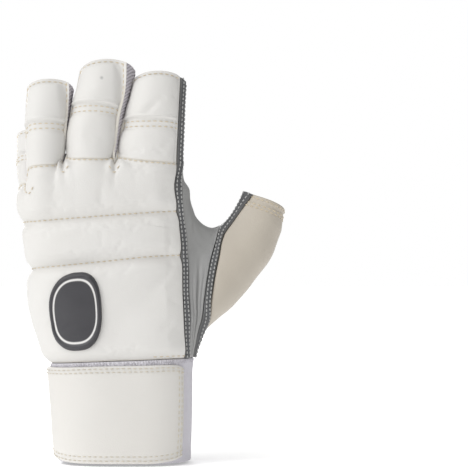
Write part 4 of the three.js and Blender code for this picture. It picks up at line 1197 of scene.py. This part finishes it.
ivory_leather = finish("ivory leather", (0.53, 0.485, 0.415), 0.55, second=(0.49, 0.44, 0.37),
                       kind="leather", grain=1500, depth=0.05, worn=(0.47, 0.42, 0.34),
                       worn_to=0.12)
thumb_back_cloth = Cloth(thumb_back_panel, thumb_back_thickness)
thumb_back_piece = sewn("thumb_back_leather", [thumb_back_cloth], ivory_leather, "ivory_leather",
                        "thumb_back")
stitches("thumb_hem_thread", [row(thumb_back_cloth, "t", inset, 0.03, 0.97)
                              for inset in (2.0, 5.4, 7.4)], tan_thread, "ivory_leather",
         pitch=2.9, length=2.2)

# Bindings.
# Narrow dark grey tapes folded over the seams: along the index side of the back pad and the
# index finger, up the thumb, and around the thumb's foot. Two rows of light thread run in each.
BINDING = 2.6
PUCKER_PITCH = 2.6


def rounded(across):
    return BINDING * (1 - 0.28 * across**3)


def tape(u, v, cloth):
    """Tape that its threads draw in a little at its edges."""
    across = np.abs(2 * u - 1)
    return rounded(across) - 0.12 * np.cos(cloth.low / PUCKER_PITCH * TURN) * across


dark_binding = finish("dark binding", (0.105, 0.107, 0.11), 0.6, second=(0.08, 0.082, 0.086),
                      patch=120, kind="leather", grain=1900, depth=0.08,
                      worn=(0.20, 0.20, 0.20), worn_to=0.06)
index_foot = seam([index_base, around(INDEX, 17, 162.7), web_top])
hand_strip = Panel.cut(cuff_arc(CUFF["pad"], CUFF["index_binding"]), index_foot, pad_edge,
                       binding_edge, across=6, up=60)
finger_strip = Panel.cut(
    index_foot, hem_arc(INDEX_FINGER, INDEX_FINGER["back_hem"], INDEX_FINGER["palm_hem"]),
    INDEX_FINGER["back_right"], INDEX_FINGER["palm_right"], across=6, up=30)
TAPE_WIDTH = 4.5
strip_us = spread(TAPE_WIDTH, 0.5)
index_cloths = [Cloth(hand_strip, tape, rims="lrb", us=strip_us, cell=0.65, pull=0.2),
                Cloth(finger_strip, tape, rims="lrt", us=strip_us, cell=0.65, pull=0.2)]
sewn("index_binding_tape", index_cloths, dark_binding, "dark_binding", "index_binding")
thumb_strip = Panel.cut(cuff_arc(CUFF["thumb_binding"], CUFF["thumb_back"]),
                        thumb_hem_arc(HEM["back"], HEM["back_out"]), thumb_binding_in,
                        thumb_binding_out, across=6, up=60)
thumb_strip_cloth = Cloth(thumb_strip, tape, us=strip_us, cell=0.65, pull=0.2)
sewn("thumb_binding_tape", [thumb_strip_cloth], dark_binding, "dark_binding", "thumb_binding")
base_strip = Panel.cut(
    cuff_arc(CUFF["thumb_back"], CUFF["palm"]),
    chain([thumb_back_foot, lambda t: thumb_palm_foot(1 - np.atleast_1d(t))], [3, 5]),
    part_of(thumb_binding_out, 0, THUMB_FOOT), part_of(tongue_seam, 0, TONGUE_FOOT), across=40, up=6)


def base_tape(u, v, cloth):
    return rounded(np.abs(2 * v - 1))


base_cloth = Cloth(base_strip, base_tape, cell=0.5, pull=0.2)
sewn("thumb_base_tape", [base_cloth], dark_binding, "dark_binding", "thumb_base_binding")
grey_thread = thread_finish("grey thread", (0.46, 0.46, 0.45), (0.36, 0.36, 0.355), patch=220)
stitches("binding_thread", [row(cloth, "u", share, 0.01, 0.99, up=0.05, count=200)
                            for cloth in (*index_cloths, thumb_strip_cloth)
                            for share in (0.26, 0.72)]
         + [row(base_cloth, "v", share, 0.02, 0.98, up=0.05) for share in (0.3, 0.7)],
         grey_thread, "dark_binding", pitch=2.3, length=1.9, thread=0.85)

# Heel patch.
# A second layer of grey suede over a thin pad on the heel of the hand, stitched down all round
# with two rows of white thread a few millimetres inside its edge.
HEEL_LIFT = LEATHER + 0.95
HEEL_ROWS = (1.8, 3.7)
HEEL_TURNS = (205, 291)
HEEL_TOP = ((-53, 143), (-40, 135), (-27.5, 125.6), (-23.3, 117.9), (-18.4, 111.6),
            (-11.7, 107.4), (-2.9, 105.9), (11.9, 106.2), (29.5, 108.6), (44.3, 106.2))
HEEL_THUMB = ((23.5, 65.5), (30.5, 75.8), (37.5, 85.6), (41.9, 96.4), (44.3, 106.2))
heel_panel = Panel.cut(
    cuff_arc(*HEEL_TURNS), seam(seen_line("palm", *HEEL_TOP)),
    seam([on_cuff(HEEL_TURNS[0]), on_hand(203, 76), on_hand(202, 98), on_hand(200, 118),
          on_hand(197, 132), seen("palm", *HEEL_TOP[0])]),
    seam([on_cuff(HEEL_TURNS[1]), *seen_line("palm", *HEEL_THUMB)]), across=48, up=44)


def heel_thickness(u, v, cloth):
    stitched = sum(0.4 * np.exp(-((cloth.rim - inset) / 0.5) ** 2) for inset in HEEL_ROWS)
    inside = np.clip((cloth.rim - 4) / 6, 0, 1)
    folds = ripple(cloth.left, 0.6 * cloth.low, 101, 12) * 0.3 * inside
    folds = folds + ripple(cloth.left, cloth.low, 102, 30) * 0.5 * inside
    return 1.5 + 1.2 * dome(v) * dome(u) + folds - stitched


heel_cloth = Cloth(heel_panel, heel_thickness, under=HEEL_LIFT, cell=0.8, pull=0.15, edge=1.0)
heel_patch = sewn("heel_patch_suede", [heel_cloth], grey_suede, "grey_suede", "heel_patch")
palm_rows += [row(heel_cloth, side, inset, 0.03, 0.97, count=140)
              for side in "trlb" for inset in HEEL_ROWS]
stitches("palm_thread", palm_rows, white_thread, "grey_suede", pitch=2.9, length=2.2, thread=0.6)

# Wrist elastic.
# White rib-knit elastic tube around the wrist, sewn to the glove at the cuff seam and hemmed at
# the open end. Its fine ribs run lengthwise.
ELASTIC = 1.6
ELASTIC_RIB = 1.25


def wrist_panel(turn, low, high):
    """Panel around the wrist, by turns in degrees and the heights of both edges there."""
    v = np.linspace(0, 1, 25)[:, None]
    return Panel(settle(on_hand(np.broadcast_to(turn, (25, len(turn))), low + (high - low) * v)))


turns = np.linspace(0, 360, 121)
cuff_panel = wrist_panel(turns, 0, cuff_height(turns))
RIB_COUNT = round(cuff_panel.width / ELASTIC_RIB)


def elastic_thickness(u, v, cloth):
    hem = 0.3 * np.exp(-((cloth.low - 7) / 0.7) ** 2)
    return ELASTIC - 0.42 * np.abs(np.cos(np.pi * RIB_COUNT * u)) ** 1.5 - hem


elastic_cloth = Cloth(cuff_panel, elastic_thickness, rims="bt", cell=1.6,
                      us=np.linspace(0, 1, RIB_COUNT * 6 + 1), edge=0.7, pull=0.2)
white_elastic = finish("white elastic", (0.70, 0.685, 0.73), 0.9, second=(0.66, 0.645, 0.69),
                       patch=70, grain=2600, depth=0.2, sheen=0.3)
elastic_piece = sewn("wrist_elastic_knit", [elastic_cloth], white_elastic, "white_elastic",
                     "wrist_elastic")
# Zigzag seam at the top of the cuff: a turn every 1.1 mm, 0.9 or 2.5 mm below its edge
zigzag_u = np.linspace(0.001, 0.999, round(cuff_panel.width / 1.1))
zigzag_v = 1 - np.where(np.arange(len(zigzag_u)) % 2, 0.9, 2.5) / cuff_panel.height
cuff_thread = thread_finish("cuff thread", (0.56, 0.54, 0.58), roughness=0.8, patch=200)
stitches("cuff_zigzag", [elastic_cloth.on(zigzag_u, zigzag_v, 0.1)], cuff_thread, "white_elastic",
         pitch=1.0, length=1.0, thread=0.4)

# Wrist strap.
# White leather strap once around the wrist. It is sewn to the elastic below the index finger,
# edged with two rows of stitches, and ends in a rounded tab on the palm whose piping has yellowed.
# Turn, lower edge, upper edge, and how far the tab stands off
STRAP = rows((33.75, 3.6, 52, 0), (38, 2.6, 53, 0), (45, 1.6, 53.4, 0), (56.25, 0.8, 53.4, 0),
             (67.5, 0.3, 53.2, 0), (78.75, 0.3, 53, 0), (90, 0.3, 52.8, 0),
             (101.25, 0.3, 52.6, 0), (112.5, 0.3, 52.4, 0), (123.75, 0.3, 52.2, 0),
             (135, 0.5, 52, 0), (146.25, 1, 52, 0), (157.5, 1.6, 52, 0), (168.75, 2.4, 52, 0),
             (180, 3.4, 52, 0), (191.25, 4.8, 52, 0), (202.5, 6.4, 52.2, 0),
             (213.75, 7.8, 52.4, 0.1), (225, 8.4, 52.4, 0.6), (236.25, 8, 51.8, 1.4),
             (247.5, 7.2, 50.8, 1.5), (258.75, 6.2, 49.4, 1.5), (268, 5.2, 47.8, 1.5),
             (273.5, 6, 46.6, 1.5), (276.5, 9, 43.5, 1.5), (277.8, 14, 38, 1.5))
strap_panel = wrist_panel(*STRAP[:, :3].T)


def strap_thickness(u, v, cloth):
    rows_in = sum(0.28 * np.exp(-((cloth.rim - inset) / 0.45) ** 2) for inset in (2.0, 4.0))
    return 2 + 0.5 * dome(v) - rows_in + 0.12 * ripple(cloth.left, cloth.low, 111, 24)


strap_leather = finish("strap leather", (0.69, 0.675, 0.645), 0.55, second=(0.655, 0.635, 0.60),
                       kind="leather", grain=1400, depth=0.05, aged=(0.70, 0.49, 0.21))
strap_cloth = Cloth(strap_panel, strap_thickness, cell=0.8, pull=0.0, edge=0.9,
                    under=ELASTIC + 0.4, us=spread(strap_panel.width, 0.9))
lift = np.interp(strap_cloth.u, np.linspace(0, 1, len(STRAP)), STRAP[:, 3])
lifts = lift[None, :, None] * unit(cubic(
    strap_panel.facing, *np.meshgrid(strap_cloth.u, strap_cloth.v)))
strap_cloth.outer = strap_cloth.outer + lifts
strap_cloth.inner = strap_cloth.inner + lifts
# The tab's edges are yellowed
TAB_START = 0.62
on_tab = np.clip((strap_cloth.left / strap_panel.width - TAB_START) / 0.1, 0, 1)
strap_cloth.aged = np.exp(-strap_cloth.rim / 2.6) * on_tab
strap_piece = sewn("wrist_strap_leather", [strap_cloth], strap_leather, "strap_leather",
                   "wrist_strap")
strap_thread = thread_finish("strap thread", (0.56, 0.51, 0.42), (0.62, 0.57, 0.47))
stitches("strap_thread_rows",
         [row(strap_cloth, side, inset, start, end, count=300)
          for side, insets, start, end in (("t", (1.4, 3.2), 0.02, 0.975),
                                           ("b", (1.7, 4.0), 0.02, 0.975),
                                           ("l", (4.2, 7.6), 0.07, 0.93),
                                           ("r", (1.7,), 0.06, 0.94))
          for inset in insets], strap_thread, "strap_leather", pitch=3.0, length=2.2)

# Loop patch.
# Soft loop side of the closure, a fabric covered with short loops of pile. It is sewn flat on the
# elastic under the strap's tab and beyond it.
# Turn, lower edge and upper edge
LOOP = rows((253, 10, 48.5), (258.75, 9, 50), (270, 7.5, 51.4), (281.25, 7, 52), (292.5, 7, 52),
            (303.75, 7.4, 51.6), (311, 9.4, 49.6), (316, 14, 45), (318.5, 21, 38))
loop_panel = wrist_panel(*LOOP.T)
loop_cloth = Cloth(loop_panel, 1.0, under=ELASTIC + 0.5, cell=0.8, pull=0.0, edge=0.6)
loop_fabric = finish("loop fabric", (0.74, 0.725, 0.75), 0.95, second=(0.68, 0.665, 0.69),
                     patch=80, grain=1800, depth=0.5, sheen=0.5)
loop_piece = sewn("loop_patch_fabric", [loop_cloth], loop_fabric, "loop_fabric", "loop_patch")


def pile_tree(name):
    """Short loops of pile scattered over a surface, each leaning its own way."""
    tree = empty_tree(name, "Cloth", ("Density", "Height", "Width"), "Pile")
    new = tree.nodes.new
    start, end = new("NodeGroupInput"), new("NodeGroupOutput")
    scatter, lean = new("GeometryNodeDistributePointsOnFaces"), new("FunctionNodeRandomValue")
    scatter.inputs["Seed"].default_value = 7
    lean.data_type = "FLOAT_VECTOR"
    lean.inputs["Min"].default_value = (-0.9, -0.9, 0)
    lean.inputs["Max"].default_value = (0.9, 0.9, 6.3)
    lean.inputs["Seed"].default_value = 11
    turn = new("FunctionNodeRotateRotation")
    turn.rotation_space = "LOCAL"
    loop, size = new("GeometryNodeMeshCone"), new("ShaderNodeCombineXYZ")
    loop.inputs["Vertices"].default_value = 3
    loop.inputs["Radius Bottom"].default_value = 1
    loop.inputs["Radius Top"].default_value = 0.5
    loop.inputs["Depth"].default_value = 1
    shape, put = new("GeometryNodeTransform"), new("GeometryNodeInstanceOnPoints")
    real, paint = new("GeometryNodeRealizeInstances"), new("GeometryNodeSetMaterial")
    wire(tree, (start, "Cloth", scatter, "Mesh"), (start, "Density", scatter, "Density"),
         (scatter, "Rotation", turn, "Rotation"), (lean, 0, turn, "Rotate By"),
         (start, "Width", size, "X"), (start, "Width", size, "Y"), (start, "Height", size, "Z"),
         (loop, "Mesh", shape, "Geometry"), (size, "Vector", shape, "Scale"),
         (scatter, "Points", put, "Points"), (shape, "Geometry", put, "Instance"),
         (turn, "Rotation", put, "Rotation"), (put, "Instances", real, "Geometry"),
         (real, "Geometry", paint, "Geometry"), (start, "Finish", paint, "Material"),
         (paint, "Geometry", end, "Pile"))
    return tree


# The pile grows on all of the patch but its rim
bare = loop_cloth.outer[2:-2, 2:-2]
ground = bpy.data.meshes.new("loop_patch_ground")
ground.from_pydata((bare.reshape(-1, 3) * MM).tolist(), [], cells(*bare.shape[:2]).tolist())
pile_mesh = grown_mesh("loop_patch_pile", ground, pile_tree("loop pile"), Density=5.5e6,
                       Height=0.0007, Width=0.00016, Finish=loop_fabric)
show("loop_patch_pile", pile_mesh, loop_fabric, "loop_fabric")

# Badge.
# Oval plate of dark moulded rubber with a raised rim and a thin light line inside it. It is sewn
# on the lowest channel of the back pad.
BADGE = dict(u=0.405, v=0.52, half_width=0.138, half_height=0.4, lean=0.03)
badge_turn, badge_out = np.meshgrid(np.linspace(0, 2 * np.pi, 97), np.linspace(0, 1, 61))


def squared(wave):
    """Makes an oval a little squarer."""
    return np.sign(wave) * np.abs(wave) ** 0.8


across = squared(np.cos(badge_turn))
upward = squared(np.sin(badge_turn)) * BADGE["half_height"]
badge_u = BADGE["u"] + badge_out * (BADGE["half_width"] * across + BADGE["lean"] * upward)
badge_v = BADGE["v"] + badge_out * upward
bed, facing = pad_cloths[0].on(badge_u.ravel(), badge_v.ravel())
bed, facing = bed.reshape(*badge_u.shape, 3), facing.reshape(*badge_u.shape, 3)
rim_rise = np.exp(-((badge_out - 0.9) / 0.05) ** 2)
fall = np.sqrt(np.clip(1 - np.clip((badge_out - 0.94) / 0.06, 0, 1) ** 2, 0.02, 1))
GAP = 0.25
plate = SimpleNamespace(
    outer=bed + facing * (GAP + (1.7 + 0.8 * rim_rise) * fall)[..., None],
    inner=bed + facing * GAP,
    uv=np.stack([badge_turn / (2 * np.pi), badge_out], -1),
    rim=(1 - badge_out) * 10,
    aged=np.exp(-((badge_out - 0.8) / 0.03) ** 6))
badge_rubber = finish("badge rubber", (0.036, 0.035, 0.04), 0.45, second=(0.055, 0.054, 0.06),
                      patch=90, grain=900, depth=0.04, aged=(0.74, 0.73, 0.71))
sewn("badge_plate", [plate], badge_rubber, "badge_rubber", "badge")

# Floor and light.
# Plain white floor and sky with soft lamps, as in a studio. The camera looks straight at the back
# of the glove, with the height and place of the photograph's left glove.
FLOOR_REACH, FLOOR_HEIGHT = 4, -0.0012
floor_mesh = bpy.data.meshes.new("floor")
floor_mesh.from_pydata([(x * FLOOR_REACH, y * FLOOR_REACH, FLOOR_HEIGHT)
                        for x, y in ((-1, -1), (1, -1), (1, 1), (-1, 1))], [], [(0, 1, 2, 3)])
floor = bpy.data.objects.new("floor", floor_mesh)
bpy.context.scene.collection.objects.link(floor)
floor_paint = bpy.data.materials.new("floor paint")
floor_paint.use_nodes = True
floor_shader = floor_paint.node_tree.nodes["Principled BSDF"]
floor_shader.inputs["Base Color"].default_value = (0.97, 0.97, 0.97, 1)
floor_shader.inputs["Roughness"].default_value = 0.8
floor_shader.inputs["Emission Color"].default_value = (1, 1, 1, 1)
floor_shader.inputs["Emission Strength"].default_value = 0.3
floor_mesh.materials.append(floor_paint)

world = bpy.data.worlds.new("studio")
world.use_nodes = True
sky = world.node_tree
dome_light = sky.nodes["Background"]
dome_light.inputs["Color"].default_value = (1, 1, 1, 1)
dome_light.inputs["Strength"].default_value = 0.4
backdrop = sky.nodes.new("ShaderNodeBackground")
backdrop.inputs["Color"].default_value = (1, 1, 1, 1)
backdrop.inputs["Strength"].default_value = 1.0
seen_by, blend = sky.nodes.new("ShaderNodeLightPath"), sky.nodes.new("ShaderNodeMixShader")
wire(sky, (seen_by, "Is Camera Ray", blend, "Fac"), (dome_light, "Background", blend, 1),
     (backdrop, "Background", blend, 2),
     (blend, "Shader", sky.nodes["World Output"], "Surface"))
bpy.context.scene.world = world
bpy.context.scene.view_settings.view_transform = "Standard"


def lamp(name, place, aim, size, power):
    light = bpy.data.lights.new(name, "AREA")
    light.size = size
    light.energy = power
    obj = bpy.data.objects.new(name, light)
    obj.location = place
    way = Vector(aim) - Vector(place)
    obj.rotation_euler = way.to_track_quat("-Z", "Y").to_euler()
    bpy.context.scene.collection.objects.link(obj)


sun = bpy.data.lights.new("soft sky panel", "SUN")
sun.energy, sun.angle = 1.7, 1.0
panel_light = bpy.data.objects.new("soft sky panel", sun)
panel_light.rotation_euler = Vector((0.55, 0.4, -1.0)).to_track_quat("-Z", "Y").to_euler()
bpy.context.scene.collection.objects.link(panel_light)
lamp("key", (-1.1, -0.9, 0.5), (0, 0, 0.1), 0.6, 4)
lamp("palm light", (-0.4, 1.5, 0.5), (0, 0, 0.1), 0.8, 8)

# Width of the picture at the glove, the camera's distance, and where the picture's middle lies
PICTURE_WIDTH = 0.2574
DISTANCE = 1.2
MIDDLE_X, MIDDLE_Z = 0.06105, 0.1243
camera = bpy.data.cameras.new("camera")
camera.sensor_width = 36
camera.lens = camera.sensor_width * DISTANCE / PICTURE_WIDTH
eye = bpy.data.objects.new("camera", camera)
eye.location = (MIDDLE_X, -DISTANCE, MIDDLE_Z)
eye.rotation_euler = (math.pi / 2, 0, 0)
bpy.context.scene.collection.objects.link(eye)
bpy.context.scene.camera = eye
